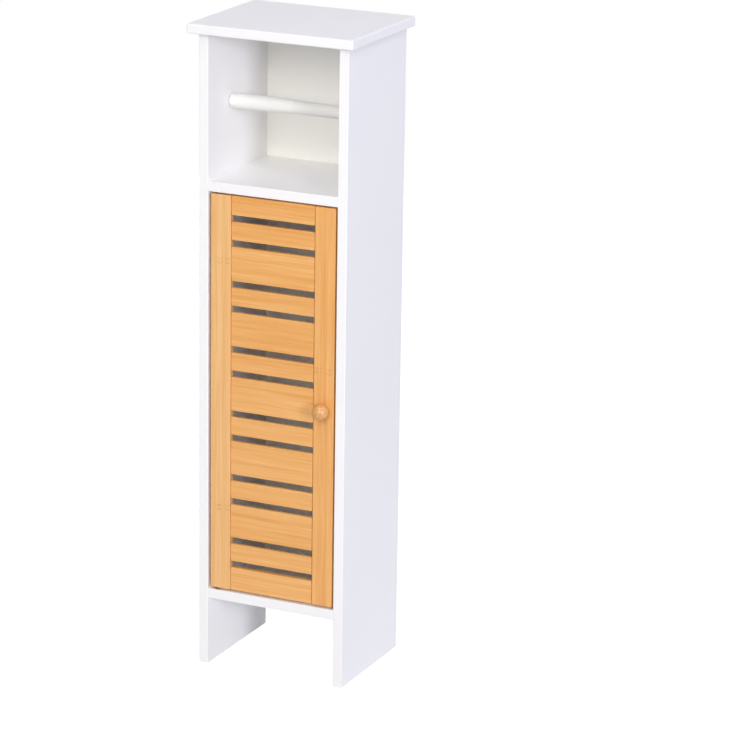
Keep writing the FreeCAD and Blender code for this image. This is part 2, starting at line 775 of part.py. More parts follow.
def strike():
    """The steel strike plate on the back of the top rail and its countersunk screw."""
    plate = block("strike_blank", ("strike_width", "strike_thickness", "strike_height"),
                  ("catch_offset - strike_width / 2", "door_back", "catch_middle - strike_height / 2"))
    face = ("catch_offset", "door_back + strike_thickness", "catch_middle")
    sink = doc.addObject("Part::Cone", "strike_sink")
    bind(sink, "Radius1", "strike_screw_head / 2 + screw_clearance")
    bind(sink, "Radius2", "strike_screw / 2 + screw_clearance")
    bind(sink, "Height", "strike_thickness")
    place(sink, face, TO_FRONT)
    keep(cut("strike_cut", plate, [sink]), "strike_plate")
    shank = "strike_screw / 2"
    end = "strike_thickness + strike_screw_depth"
    outline = [("0", "0"), ("strike_screw_head / 2", "0"), (shank, "strike_thickness"), (shank, end),
               ("0", end)]
    keep(turned("strike_screw", outline, face, TO_FRONT), "strike_plate_screw")


def rod_half(name, outer, bore, open_end, corner, turn):
    """One moulded half of the roll rod: a pin, a rounded nose with a spring shoulder inside, and a tube."""
    nose = f"{outer} - rod_nose_step"
    pin = "rod_pin / 2"
    core = "rod_core / 2"
    start = "rod_pin_length"
    floor = "rod_pin_length + rod_end_wall"
    tube = "rod_pin_length + rod_nose_length"
    outline = [("0", "0"), (pin, "0"), (pin, start), (nose, start), (outer, tube)]
    outline += open_end
    outline += [(bore, tube), (core, tube), (core, floor), ("0", floor)]
    body = turned(name, outline, corner, turn)

    def on_nose(edge):
        if edge.Curve.TypeId != "Part::GeomCircle":
            return False
        return at(edge.CenterOfMass.z, start) and at(edge.Curve.Radius, nose)

    round_edges(body, "rod_nose_round", on_nose)
    keep(body, name)


def roll_rod():
    """The two halves of the roll rod; each pin turns in a blind hole in its side panel."""
    outer = "rod_outer_diameter / 2"
    bore = "rod_outer_bore / 2"
    end = "rod_pin_length + rod_outer_length"
    open_end = [(outer, f"{end} - rod_taper"), (f"{bore} + rod_lip", end), (bore, end)]
    corner = ("-rod_right_end - rod_pin_length", "rod_front", "rod_up")
    rod_half("rod_outer_tube", outer, bore, open_end, corner, TO_RIGHT)
    outer = "rod_inner_diameter / 2"
    bore = "rod_inner_bore / 2"
    end = "rod_pin_length + rod_inner_length"
    open_end = [(outer, end), (bore, end)]
    corner = ("rod_right_end + rod_pin_length", "rod_front", "rod_up")
    rod_half("rod_inner_tube", outer, bore, open_end, corner, TO_LEFT)


def arc_from(start, heading, end):
    """The arc that leaves a point along a heading and ends at another point."""
    chord = end - start
    across = chord - heading * chord.dot(heading)
    across.normalize()
    radius = chord.dot(chord) / (2 * chord.dot(across))
    centre = start + across * radius
    middle = (start + end) * 0.5 - centre
    middle.normalize()
    return Part.Arc(start, centre + middle * radius, end)


def two_arcs(start, heading, end, end_heading):
    """Two arcs that meet smoothly and join two points with given headings."""
    chord = end - start
    both = heading + end_heading
    spread = 2 * (1 - heading.dot(end_heading))
    pull = chord.dot(both)
    reach = (math.sqrt(pull ** 2 + spread * chord.dot(chord)) - pull) / spread
    meet = (start + end + (heading - end_heading) * reach) * 0.5
    meet_heading = (end - end_heading * reach) - (start + heading * reach)
    meet_heading.normalize()
    return [arc_from(start, heading, meet), arc_from(meet, meet_heading, end)]


def least_gap(arcs, wire):
    """The least gap between the turns of a wire, measured on points along its path."""
    points = []
    for arc in arcs:
        points += arc.toShape().discretize(POINTS_PER_ARC + 1)[:-1]
    half_turn = POINTS_PER_ARC * STEPS_PER_TURN
    least = math.inf
    for i, point in enumerate(points):
        for other in points[i + half_turn:]:
            least = min(least, point.distanceToPoint(other))
    return least - wire


def rod_spring():
    """The coil spring between the shoulder in the outer tube and the rim of the inner one."""
    wire = number("spring_wire")
    radius = number("spring_diameter") / 2
    start = number("spring_left") + wire / 2
    end = number("spring_right") - wire / 2
    turn = 2 * math.pi / STEPS_PER_TURN
    count = SPRING_TURNS * STEPS_PER_TURN
    rise = (end - start) / count / turn
    spots = []
    headings = []
    for i in range(count + 1):
        angle = i * turn
        spots.append(Vector(start + rise * angle, radius * math.cos(angle), radius * math.sin(angle)))
        heading = Vector(rise, -radius * math.sin(angle), radius * math.cos(angle))
        heading.normalize()
        headings.append(heading)
    arcs = []
    for i in range(count):
        arcs += two_arcs(spots[i], headings[i], spots[i + 1], headings[i + 1])
    path = Part.Wire([arc.toShape() for arc in arcs])
    section = Part.Wire([Part.makeCircle(wire / 2, spots[0], headings[0])])
    shell = Part.BRepOffsetAPI.MakePipeShell(path)
    shell.add(section)
    shell.build()
    shell.makeSolid()
    piece = doc.addObject("Part::Feature", "rod_spring")
    piece.Shape = shell.shape()
    place(piece, ("0", "rod_front", "rod_up"))
    keep(piece, "rod_spring")
    print(f"rod_spring: least gap between turns {least_gap(arcs, wire):.2f} mm")


def check_and_write():
    """Stops at any failed object or bad shape, then writes a file for each sub-part."""
    doc.recompute()
    for item in doc.Objects:
        if "Invalid" in item.State or "Error" in item.State:
            raise RuntimeError(f"{item.Label} failed: {item.State}")
    for piece in pieces:
        if piece.Shape.isNull() or not piece.Shape.isValid():
            raise RuntimeError(piece.Label + " has no valid shape")
    os.makedirs("parts", exist_ok=True)
    for piece in pieces:
        piece.Shape.exportStep(f"parts/{piece.Label}.step")
    print(f"{len(pieces)} sub-parts, {sum(len(piece.Shape.Solids) for piece in pieces)} solids")


def main():
    """Builds the cabinet, the door and the roll rod, and writes them."""
    top_panel()
    side_panel("left_side_panel", "-carcass_width / 2", "board", False)
    side_panel("right_side_panel", "inner_right", "0", True)
    shelves()
    back_panel()
    dowels()
    cam_fittings()
    stiles()
    rails_and_slats()
    pivots()
    knob()
    knob_screw()
    catch_housing()
    catch_magnet()
    catch_screws()
    strike()
    roll_rod()
    rod_spring()
    check_and_write()


main()
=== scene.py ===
"""Looks of a freestanding toilet roll holder: a white cabinet with a roll niche and a slatted bamboo door.

Metres, in the frame of the packed model: X to the right, Y to the back, Z up and the floor at zero.
"""
import math

import bmesh
import bpy
from mathutils import Matrix, Vector


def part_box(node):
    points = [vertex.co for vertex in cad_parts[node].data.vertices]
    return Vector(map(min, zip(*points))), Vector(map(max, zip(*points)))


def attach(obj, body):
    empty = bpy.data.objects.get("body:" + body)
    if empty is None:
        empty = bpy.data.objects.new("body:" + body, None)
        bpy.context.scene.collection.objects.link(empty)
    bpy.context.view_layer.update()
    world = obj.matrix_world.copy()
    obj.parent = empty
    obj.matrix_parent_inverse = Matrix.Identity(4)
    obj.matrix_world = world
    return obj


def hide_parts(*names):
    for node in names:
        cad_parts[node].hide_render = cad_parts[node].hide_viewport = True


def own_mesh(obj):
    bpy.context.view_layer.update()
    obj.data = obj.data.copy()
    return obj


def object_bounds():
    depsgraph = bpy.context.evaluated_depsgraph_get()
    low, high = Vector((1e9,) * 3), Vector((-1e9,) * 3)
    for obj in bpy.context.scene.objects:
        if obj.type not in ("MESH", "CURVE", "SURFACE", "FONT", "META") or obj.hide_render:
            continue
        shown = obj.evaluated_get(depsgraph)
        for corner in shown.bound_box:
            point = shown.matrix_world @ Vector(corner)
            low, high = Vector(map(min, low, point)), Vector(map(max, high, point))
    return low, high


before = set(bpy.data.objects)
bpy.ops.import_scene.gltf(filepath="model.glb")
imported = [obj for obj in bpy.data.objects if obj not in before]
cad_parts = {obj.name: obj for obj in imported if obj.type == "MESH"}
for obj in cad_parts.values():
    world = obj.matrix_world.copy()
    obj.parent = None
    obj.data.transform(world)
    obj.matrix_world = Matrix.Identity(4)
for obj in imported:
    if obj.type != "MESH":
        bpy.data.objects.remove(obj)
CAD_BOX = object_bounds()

bl_info = {
    "name": "Toilet roll holder",
    "version": (1, 0, 0),
    "blender": (4, 5, 0),
    "location": "View3D > Sidebar > Roll holder",
    "description": "Dresses a freestanding toilet roll holder with a bamboo door",
    "category": "Object",
}

MM = 0.001
MATH = "ShaderNodeMath"
SMOOTH_ANGLE = math.radians(40)
FLAT_ANGLE = math.radians(0.5)
MERGE_DISTANCE = 0.001 * MM

# A board's edge counts as an outer one within this distance of two sides of the board's box
EDGE_REACH = 0.85 * MM

# Steps of the rounded shapes: turned pieces, eased edges, slats, flutes, screws, the spring and the floor
TURNING_STEPS = 72
EASE_STEPS = 3
ROUNDING_STEPS = 4
FLUTE_STEPS = 4.0
HEAD_STEPS = 48
SHANK_STEPS = 32
COIL_STEPS = 32
WIRE_STEPS = 12
FLOOR_STEPS = 64

# Attributes that bevel a dowel's ends and move the grain from slat to slat, and how far it moves either way
BOARD_SHIFT = "board_shift"
DOWEL_SWELL = "swell"
SHIFT_REACH = Vector((0.3, 0.2, 0.3))

# A screw's shank starts a little under the top of its head; the other two are parts of the head
SHANK_SUNK = 0.3 * MM
PAN_TOP = 0.65
RECESS_DEPTH = 0.6


def linear(code):
    """The linear colour, with full alpha, of an sRGB hex code."""
    parts = [int(code[i:i + 2], 16) / 255 for i in (1, 3, 5)]
    return [part / 12.92 if part <= 0.04045 else ((part + 0.055) / 1.055) ** 2.4 for part in parts] + [1.0]


def colour(name, description, code):
    """A colour that a user can change."""
    return bpy.props.FloatVectorProperty(
        name=name, description=description, subtype="COLOR", size=4, min=0.0, max=1.0, default=linear(code))


def length(name, description, millimetres):
    """A length that a user can change."""
    return bpy.props.FloatProperty(
        name=name, description=description, unit="LENGTH", min=0.0, precision=5, default=millimetres * MM)


def share(name, description, default):
    """A part of one that a user can change."""
    return bpy.props.FloatProperty(
        name=name, description=description, subtype="FACTOR", min=0.0, max=1.0, default=default)


def power(name, description, watts):
    """A lamp's power that a user can change."""
    return bpy.props.FloatProperty(name=name, description=description, unit="POWER", min=0.0, default=watts)


class BoardLook(bpy.types.PropertyGroup):
    """The white boards of the carcass."""
    lacquer: colour("Lacquer", "White satin lacquer of the boards", "#FAF9FA")
    lacquer_shade: colour("Lacquer shade", "Slightly darker clouds in the lacquer", "#F8F7F9")
    back: colour("Back", "Paint of the thin back", "#F9F8F4")
    back_shade: colour("Back shade", "Darker clouds in the paint of the back", "#F6F4EF")
    ease: length("Easing", "Width of the eased edges of the boards", 0.5)
    ripple: length("Ripple", "Size of the ripples in the sprayed lacquer", 3.0)
    ripple_height: length("Ripple height", "Height of the ripples in the sprayed lacquer", 0.015)
    roughness: share("Roughness", "Roughness of the satin lacquer", 0.34)


class BambooLook(bpy.types.PropertyGroup):
    """The bamboo of the door."""
    # Real fibres are about 0.4 mm wide, too fine to show in the render, so they are drawn wider
    pale: colour("Pale", "Pale streaks of the slats and the knob stile", "#F2BA74")
    dark: colour("Dark", "Dark streaks of the slats and the knob stile", "#E09949")
    hinge_pale: colour("Hinge stile pale", "Pale streaks of the hinge stile", "#F3C488")
    hinge_dark: colour("Hinge stile dark", "Dark streaks of the hinge stile", "#E5A860")
    mark: colour("Mark", "Node marks across the bamboo strips", "#BE813E")
    strip: length("Strip", "Width of the glued strips", 5.5)
    fibre: length("Fibre", "Width of the finest streaks", 1.2)
    figure: length("Figure", "Width of the broad streaks", 3.6)
    node_spacing: length("Node spacing", "Distance between two nodes of a cane", 302)
    node_left: length("Left node", "Height of a node mark on the hinge stile", 504.5)
    node_right: length("Right node", "Height of the node mark on the knob stile", 388.5)
    slat_round: length("Slat rounding", "Rounding of the slats' long edges", 0.7)
    stile_ease: length("Stile easing", "Width of the eased edges of the stiles", 0.8)
    joint_gap: length("Joint gap", "Open joint between the slats and the stiles", 0.9)
    knob_pale: colour("Knob pale", "Pale wood of the turned knob", "#E0AA6C")
    knob_dark: colour("Knob dark", "Darker growth lines of the turned knob", "#CB8D49")


class FittingLook(bpy.types.PropertyGroup):
    """The fittings inside the cabinet."""
    steel: colour("Steel", "Zinc plated steel", "#C9CBCE")
    zinc: colour("Zinc", "Zinc die casting", "#B9BBBD")
    plastic: colour("Plastic", "White moulded fittings", "#EDECEA")
    nylon: colour("Nylon", "Brown moulded bushes", "#7D5C3C")
    ferrite: colour("Ferrite", "Sintered magnet", "#35353A")
    beech: colour("Beech", "Plain beech of the dowels", "#D9B387")
    beech_fleck: colour("Beech fleck", "Darker flecks of the dowels", "#C39868")
    flutes: bpy.props.IntProperty(name="Flutes", description="Flutes round a dowel", min=6, default=16)
    flute_depth: length("Flute depth", "Depth of a dowel's flutes", 0.2)
    recess_width: share("Recess width", "Width of a screw's cross recess, as a part of its head", 0.16)
    recess_span: share("Recess span", "Span of a screw's cross recess, as a part of its head", 0.62)


class RodLook(bpy.types.PropertyGroup):
    """The roll rod."""
    plastic: colour("Plastic", "White moulded plastic of the rod", "#EDECE9")
    rim: length("Rim", "Rounding of the tubes' open rims", 0.15)
    pin_bevel: length("Pin bevel", "Bevel at the tips of the pins", 0.6)
    wire: length("Wire", "Thickness of the spring's wire", 1.1)
    turns: bpy.props.FloatProperty(name="Turns", description="Turns of the spring", min=1.0, default=7.0)
    crowding: share("Crowding", "How far the spring's turns close up at its ends", 0.6)


class StudioLook(bpy.types.PropertyGroup):
    """The floor, the lamps and the camera."""
    floor: colour("Floor", "Pale floor", "#CECECE")
    ambient: colour("Ambient", "Colour of the light from all round", "#FBFBFC")
    ambient_strength: bpy.props.FloatProperty(
        name="Ambient strength", description="Strength of the light from all round", min=0.0, default=0.10)
    key_power: power("Key power", "Power of the low lamp at the right", 165.0)
    front_power: power("Front power", "Power of the broad lamp in front", 81.0)
    side_power: power("Side power", "Power of the lamp beside the right panel", 15.0)
    high_power: power("High power", "Power of the high lamp in front", 17.0)
    back_power: power("Back power", "Power of the lamp behind the left panel", 92.0)
    key_tint: colour("Key tint", "Colour of the low, the high and the back lamp", "#F4F5FF")
    front_tint: colour("Front tint", "Colour of the broad lamp in front", "#FFFDF5")
    side_tint: colour("Side tint", "Colour of the lamp beside the right panel", "#E4E6FF")
    lens: bpy.props.FloatProperty(
        name="Lens", description="Focal length of the camera", unit="CAMERA", min=1.0, default=168.93)


def add(tree, kind, inputs=None, **settings):
    """A node of a kind; settings are its own properties, inputs its sockets' values or links."""
    node = tree.nodes.new(kind)
    for key, value in settings.items():
        setattr(node, key, value)
    for key, value in (inputs or {}).items():
        if isinstance(value, bpy.types.Node):
            value = value.outputs[0]
        if isinstance(value, bpy.types.NodeSocket):
            tree.links.new(value, node.inputs[key])
        else:
            node.inputs[key].default_value = value
    return node


def new_material(name, values):
    """A material's tree and its shader, with the values that are the same all over the surface."""
    material = bpy.data.materials.new(name)
    material.use_nodes = True
    tree = material.node_tree
    tree.nodes.clear()
    shader = add(tree, "ShaderNodeBsdfPrincipled", values)
    add(tree, "ShaderNodeOutputMaterial", {"Surface": shader})
    return material, tree, shader


def streaks(tree, along, across, depth, run, width):
    """Noise drawn out along the grain, in streaks of a length and a width."""
    spot = add(tree, "ShaderNodeCombineXYZ", {0: along, 1: across, 2: depth})
    scale = (1 / run, 1 / width, 1 / width)
    scaled = add(tree, "ShaderNodeVectorMath", {0: spot, 1: scale}, operation="MULTIPLY")
    return add(tree, "ShaderNodeTexNoise", {"Vector": scaled, "Scale": 1.0, "Detail": 3.0})


def speckle(tree, size):
    """Noise with features of a size, fixed to the piece."""
    place = add(tree, "ShaderNodeTexCoord").outputs["Object"]
    return add(tree, "ShaderNodeTexNoise", {"Vector": place, "Scale": 1 / size, "Detail": 2.0})


# Contrast limits that spread a noise's middle values over the full range
NOISE_LOW = 0.32
NOISE_HIGH = 0.68

LACQUER_IOR = 1.5
PLASTIC_IOR = 1.49
CLOUD_SIZE = 140 * MM
CRYSTAL_HEIGHT = 0.004 * MM


def spread(tree, value, low=0.0, high=1.0):
    """A noise's middle values, spread from one value to another."""
    return add(tree, "ShaderNodeMapRange", {
        "Value": value, "From Min": NOISE_LOW, "From Max": NOISE_HIGH, "To Min": low, "To Max": high})


def textured(tree, shader, skin, height, roughness, swing):
    """Lets a noise raise a surface up to a height and change its roughness by a swing either way."""
    rough = spread(tree, skin, roughness - swing, roughness + swing)
    tree.links.new(rough.outputs[0], shader.inputs["Roughness"])
    bump = add(tree, "ShaderNodeBump", {"Height": skin, "Strength": 1.0, "Distance": height})
    tree.links.new(bump.outputs[0], shader.inputs["Normal"])


def painted_board(name, pale, shade, ripple, ripple_height, roughness):
    """Fibreboard with a sprayed white coat: satin, with the faint ripples and clouds that spraying leaves."""
    material, tree, shader = new_material(name, {"IOR": LACQUER_IOR})
    cloud = spread(tree, speckle(tree, CLOUD_SIZE))
    mixed = add(tree, "ShaderNodeMix", {0: cloud, 6: pale, 7: shade}, data_type="RGBA")
    tree.links.new(mixed.outputs[2], shader.inputs["Base Color"])
    textured(tree, shader, speckle(tree, ripple), ripple_height, roughness, swing=0.04)
    return material


# Shares of the broad streaks, the fibres and the strips in the bamboo's tone
FIGURE_SHARE = 0.44
FIBRE_SHARE = 0.42
STRIP_SHARE = 0.14

# Lengths of the streaks, how the grain wanders, the paired lines of a node and the height of a fibre
STREAK_RUN = 150 * MM
FIBRE_RUN = 55 * MM
WANDER_RUN = 90 * MM
WANDER_WIDTH = 30 * MM
WANDER = 5 * MM
NODE_LINES = 2.4 * MM
NODE_LINE_WIDTH = 2.0 * MM
NODE_JITTER = 2.5 * MM
FIBRE_HEIGHT = 0.03 * MM


def node_marks(tree, along, across, strip_tone, upright):
    """A mask of the paired lines that a bamboo node leaves, a little higher or lower on each strip."""
    look = bpy.context.scene.roll_holder_bamboo
    level = look.node_left
    if upright:
        right = add(tree, MATH, {0: across, 1: 0.0}, operation="GREATER_THAN")
        step = look.node_right - look.node_left
        level = add(tree, MATH, {0: right, 1: step, 2: look.node_left}, operation="MULTIPLY_ADD")
    raised = add(tree, MATH, {0: along, 1: level}, operation="SUBTRACT")
    jittered = add(tree, MATH, {0: strip_tone, 1: NODE_JITTER, 2: raised}, operation="MULTIPLY_ADD")
    half = look.node_spacing / 2
    wrapped = add(tree, MATH, {0: jittered, 1: half, 2: -half}, operation="WRAP")
    off_node = add(tree, MATH, {0: wrapped}, operation="ABSOLUTE")
    pair = add(tree, MATH, {0: off_node, 1: NODE_LINES}, operation="SUBTRACT")
    off_line = add(tree, MATH, {0: pair}, operation="ABSOLUTE")
    line = add(tree, "ShaderNodeMapRange", {
        "Value": off_line, "From Max": NODE_LINE_WIDTH, "To Min": 1.0, "To Max": 0.0})
    return add(tree, MATH, {0: line, 1: strip_tone}, operation="MULTIPLY")


def bamboo(name, pale, dark, upright, marking):
    """Bamboo strips glued side by side, planed and lacquered: straight fine streaks, strips of slightly
    different tones, paired node lines and a satin shine."""
    look = bpy.context.scene.roll_holder_bamboo
    material, tree, shader = new_material(
        name, {"IOR": LACQUER_IOR, "Coat Weight": 0.2, "Coat Roughness": 0.28})
    place = add(tree, "ShaderNodeTexCoord").outputs["Object"]
    shift = add(tree, "ShaderNodeAttribute", attribute_name=BOARD_SHIFT).outputs["Vector"]
    moved = add(tree, "ShaderNodeVectorMath", {0: place, 1: shift}, operation="ADD")
    axes = add(tree, "ShaderNodeSeparateXYZ", {0: moved}).outputs
    depth = axes["Y"]
    along, across = (axes["Z"], axes["X"]) if upright else (axes["X"], axes["Z"])
    wander = streaks(tree, along, across, depth, WANDER_RUN, WANDER_WIDTH)
    bent = add(tree, MATH, {0: wander, 1: WANDER, 2: across}, operation="MULTIPLY_ADD")
    figure = streaks(tree, along, bent, depth, STREAK_RUN, look.figure)
    fibres = streaks(tree, along, bent, depth, FIBRE_RUN, look.fibre)
    strip = add(tree, MATH, {0: across, 1: look.strip}, operation="DIVIDE")
    strip_number = add(tree, MATH, {0: strip}, operation="FLOOR")
    strip_tone = add(tree, "ShaderNodeTexWhiteNoise", {"W": strip_number}, noise_dimensions="1D")
    figure_part = add(tree, MATH, {0: figure, 1: FIGURE_SHARE}, operation="MULTIPLY")
    fibre_part = add(tree, MATH, {0: fibres, 1: FIBRE_SHARE, 2: figure_part}, operation="MULTIPLY_ADD")
    tone = add(tree, MATH, {0: strip_tone, 1: STRIP_SHARE, 2: fibre_part}, operation="MULTIPLY_ADD")
    grain = add(tree, "ShaderNodeMix", {0: spread(tree, tone), 6: dark, 7: pale}, data_type="RGBA")
    marks = node_marks(tree, along, across, strip_tone, upright)
    broken = add(tree, MATH, {0: marks, 1: spread(tree, fibres, 1.0, 0.0)}, operation="MULTIPLY")
    marked = add(tree, MATH, {0: broken, 1: marking}, operation="MULTIPLY")
    marbled = add(tree, "ShaderNodeMix", {0: marked, 6: grain.outputs[2], 7: look.mark}, data_type="RGBA")
    tree.links.new(marbled.outputs[2], shader.inputs["Base Color"])
    textured(tree, shader, fibres, FIBRE_HEIGHT, roughness=0.41, swing=-0.05)
    return material


def plain_wood(name, axis, pale, dark, run, width, roughness, coat):
    """Straight-grained wood, turned or drawn: streaks along its axis, and lacquer where it has a coat."""
    material, tree, shader = new_material(
        name, {"IOR": LACQUER_IOR, "Roughness": roughness, "Coat Weight": coat, "Coat Roughness": 0.2})
    place = add(tree, "ShaderNodeTexCoord").outputs["Object"]
    axes = add(tree, "ShaderNodeSeparateXYZ", {0: place}).outputs
    along = axes[axis]
    across, depth = [axes[letter] for letter in "XYZ" if letter != axis]
    grain = streaks(tree, along, across, depth, run, width)
    mixed = add(tree, "ShaderNodeMix", {0: spread(tree, grain), 6: dark, 7: pale}, data_type="RGBA")
    tree.links.new(mixed.outputs[2], shader.inputs["Base Color"])
    bump = add(tree, "ShaderNodeBump", {"Height": grain, "Strength": 1.0, "Distance": FIBRE_HEIGHT})
    tree.links.new(bump.outputs[0], shader.inputs["Normal"])
    return material


def plated_metal(name, tint, roughness, crystal):
    """Plated or cast metal: dull grey, rougher from crystal to crystal, which are drawn coarse to show."""
    material, tree, shader = new_material(name, {"Metallic": 1.0, "Base Color": tint})
    textured(tree, shader, speckle(tree, crystal), CRYSTAL_HEIGHT, roughness, swing=0.08)
    return material


def moulded_plastic(name, tint, roughness, texture, height):
    """Injection moulded plastic: one even colour, with the mould's fine texture drawn coarse to show."""
    material, tree, shader = new_material(name, {"Base Color": tint, "IOR": PLASTIC_IOR})
    textured(tree, shader, speckle(tree, texture), height, roughness, swing=0.05)
    return material


def new_object(name, data):
    """An object at the origin."""
    item = bpy.data.objects.new(name, data)
    bpy.context.scene.collection.objects.link(item)
    return item


def made(name, shape, material):
    """An object from a finished shape, which is freed."""
    mesh = bpy.data.meshes.new(name)
    shape.to_mesh(mesh)
    shape.free()
    mesh.materials.append(material)
    return new_object(name, mesh)


def hand_over(piece, body, slot, *nodes):
    """Lets a finished piece ride on a body in place of CAD nodes, which it hides."""
    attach(piece, body)
    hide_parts(*nodes)


def smooth(piece):
    """Shades a piece smooth up to its sharp edges, with flat faces kept flat."""
    for polygon in piece.data.polygons:
        polygon.use_smooth = True
    piece.data.set_sharp_from_angle(angle=SMOOTH_ANGLE)
    weighted = piece.modifiers.new("Flat faces first", "WEIGHTED_NORMAL")
    weighted.keep_sharp = True


def dress(node, material):
    """Gives a CAD node a material."""
    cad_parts[node].data.materials.clear()
    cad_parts[node].data.materials.append(material)


def outer_edge(edge, low, high):
    """Whether an edge is sharp and lies where two sides of a box meet."""
    if len(edge.link_faces) != 2 or edge.calc_face_angle() < SMOOTH_ANGLE:
        return False
    middle = (edge.verts[0].co + edge.verts[1].co) / 2
    near = [axis for axis in range(3)
            if min(middle[axis] - low[axis], high[axis] - middle[axis]) < EDGE_REACH]
    return len(near) >= 2


def eased_copy(node, name, material, ease):
    """A copy of a CAD node as one closed mesh with its sharp outer edges eased."""
    low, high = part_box(node)
    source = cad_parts[node].data.copy()
    source.attributes.remove(source.attributes["custom_normal"])
    shape = bmesh.new()
    shape.from_mesh(source)
    bpy.data.meshes.remove(source)
    bmesh.ops.remove_doubles(shape, verts=shape.verts, dist=MERGE_DISTANCE)
    bmesh.ops.dissolve_limit(shape, angle_limit=FLAT_ANGLE, verts=shape.verts, edges=shape.edges)
    edges = [edge for edge in shape.edges if outer_edge(edge, low, high)]
    bmesh.ops.bevel(shape, geom=edges, offset=ease, offset_type="OFFSET", segments=EASE_STEPS, profile=0.5,
                    affect="EDGES", clamp_overlap=True)
    piece = made(name, shape, material)
    smooth(piece)
    return piece


def arc(middle, radius, start, end, steps):
    """Points of radius and height on an arc; the angles are in degrees, from straight outwards to upwards."""
    angles = [math.radians(start + (end - start) * i / steps) for i in range(steps + 1)]
    return [(middle[0] + radius * math.cos(angle), middle[1] + radius * math.sin(angle)) for angle in angles]


def turned(name, outline, foot, axis, material):
    """A turned piece: points of radius and height, spun round an axis through its foot."""
    shape = bmesh.new()
    upright = Vector(axis).to_track_quat("Z", "Y").to_matrix()
    rings = []
    for radius, height in outline:
        count = TURNING_STEPS if radius > 0 else 1
        angles = [2 * math.pi * i / count for i in range(count)]
        spots = [Vector((radius * math.cos(angle), radius * math.sin(angle), height)) for angle in angles]
        rings.append([shape.verts.new(foot + upright @ spot) for spot in spots])
    for lower, upper in zip(rings, rings[1:]):
        for i in range(TURNING_STEPS):
            j = (i + 1) % TURNING_STEPS
            corners = [lower[i % len(lower)], lower[j % len(lower)],
                       upper[j % len(upper)], upper[i % len(upper)]]
            shape.faces.new(dict.fromkeys(corners))
    bmesh.ops.recalc_face_normals(shape, faces=shape.faces)
    piece = made(name, shape, material)
    smooth(piece)
    return piece


def new_tree(name, kinds):
    """A geometry tree with a material and other named inputs; returns it with its input node's outputs."""
    tree = bpy.data.node_groups.new(name, "GeometryNodeTree")
    tree.interface.new_socket("Geometry", in_out="INPUT", socket_type="NodeSocketGeometry")
    tree.interface.new_socket("Material", in_out="INPUT", socket_type="NodeSocketMaterial")
    for kind, labels in kinds.items():
        for label in labels:
            tree.interface.new_socket(label, in_out="INPUT", socket_type="NodeSocket" + kind)
    tree.interface.new_socket("Geometry", in_out="OUTPUT", socket_type="NodeSocketGeometry")
    return tree, add(tree, "NodeGroupInput").outputs


def end_tree(tree, geometry, material):
    """Ends a tree with plain geometry of one material."""
    real = add(tree, "GeometryNodeRealizeInstances", {"Geometry": geometry})
    clad = add(tree, "GeometryNodeSetMaterial", {"Geometry": real, "Material": material})
    add(tree, "NodeGroupOutput", {"Geometry": clad})


def grown(name, tree, values, mesh=None):
    """A piece that a tree makes from its inputs, kept as a plain mesh."""
    piece = new_object(name, mesh or bpy.data.meshes.new(name + "_start"))
    growth = piece.modifiers.new(tree.name, "NODES")
    growth.node_group = tree
    for item in tree.interface.items_tree:
        if item.in_out == "INPUT" and item.name in values:
            growth[item.identifier] = values[item.name]
    depsgraph = bpy.context.evaluated_depsgraph_get()
    result = bpy.data.meshes.new_from_object(
        piece.evaluated_get(depsgraph), preserve_all_data_layers=True, depsgraph=depsgraph)
    piece.modifiers.remove(growth)
    piece.data = result
    if not result.polygons:
        raise RuntimeError(name + " has no faces")
    smooth(piece)
    return piece


def slat_tree():
    """Like bars in a row upwards: a rounded section drawn out along X, with a tenon through both ends."""
    tree, inputs = new_tree("Slats", {
        "Int": ("Count", "Seed"),
        "Float": ("Length", "Thickness", "Height", "Rounding", "Tenon Setback"),
        "Vector": ("Tenon", "First", "Pitch")})
    half = add(tree, MATH, {0: inputs["Length"], 1: 0.5}, operation="MULTIPLY")
    other_half = add(tree, MATH, {0: half, 1: -1.0}, operation="MULTIPLY")
    start = add(tree, "ShaderNodeCombineXYZ", {0: other_half})
    end = add(tree, "ShaderNodeCombineXYZ", {0: half})
    line = add(tree, "GeometryNodeCurvePrimitiveLine", {"Start": start, "End": end})
    section = add(tree, "GeometryNodeCurvePrimitiveQuadrilateral",
                  {"Width": inputs["Thickness"], "Height": inputs["Height"]})
    rounded = add(tree, "GeometryNodeFilletCurve",
                  {"Curve": section, "Count": ROUNDING_STEPS, "Radius": inputs["Rounding"]}, mode="POLY")
    bar = add(tree, "GeometryNodeCurveToMesh", {"Curve": line, "Profile Curve": rounded, "Fill Caps": True})
    tenon = add(tree, "GeometryNodeMeshCube", {"Size": inputs["Tenon"]})
    setback = add(tree, "ShaderNodeCombineXYZ", {1: inputs["Tenon Setback"]})
    tenon = add(tree, "GeometryNodeTransform", {"Geometry": tenon, "Translation": setback})
    both = add(tree, "GeometryNodeMeshBoolean", {"Mesh 2": bar}, operation="UNION")
    tree.links.new(tenon.outputs[0], both.inputs["Mesh 2"])
    row = add(tree, "GeometryNodeMeshLine", {
        "Count": inputs["Count"], "Start Location": inputs["First"], "Offset": inputs["Pitch"]},
        mode="OFFSET")
    slats = add(tree, "GeometryNodeInstanceOnPoints", {"Points": row, "Instance": both})
    shift = add(tree, "FunctionNodeRandomValue", {0: -SHIFT_REACH, 1: SHIFT_REACH, "Seed": inputs["Seed"]},
                data_type="FLOAT_VECTOR")
    shifted = add(tree, "GeometryNodeStoreNamedAttribute",
                  {"Geometry": slats, "Name": BOARD_SHIFT, "Value": shift},
                  data_type="FLOAT_VECTOR", domain="INSTANCE")
    end_tree(tree, shifted, inputs["Material"])
    return tree


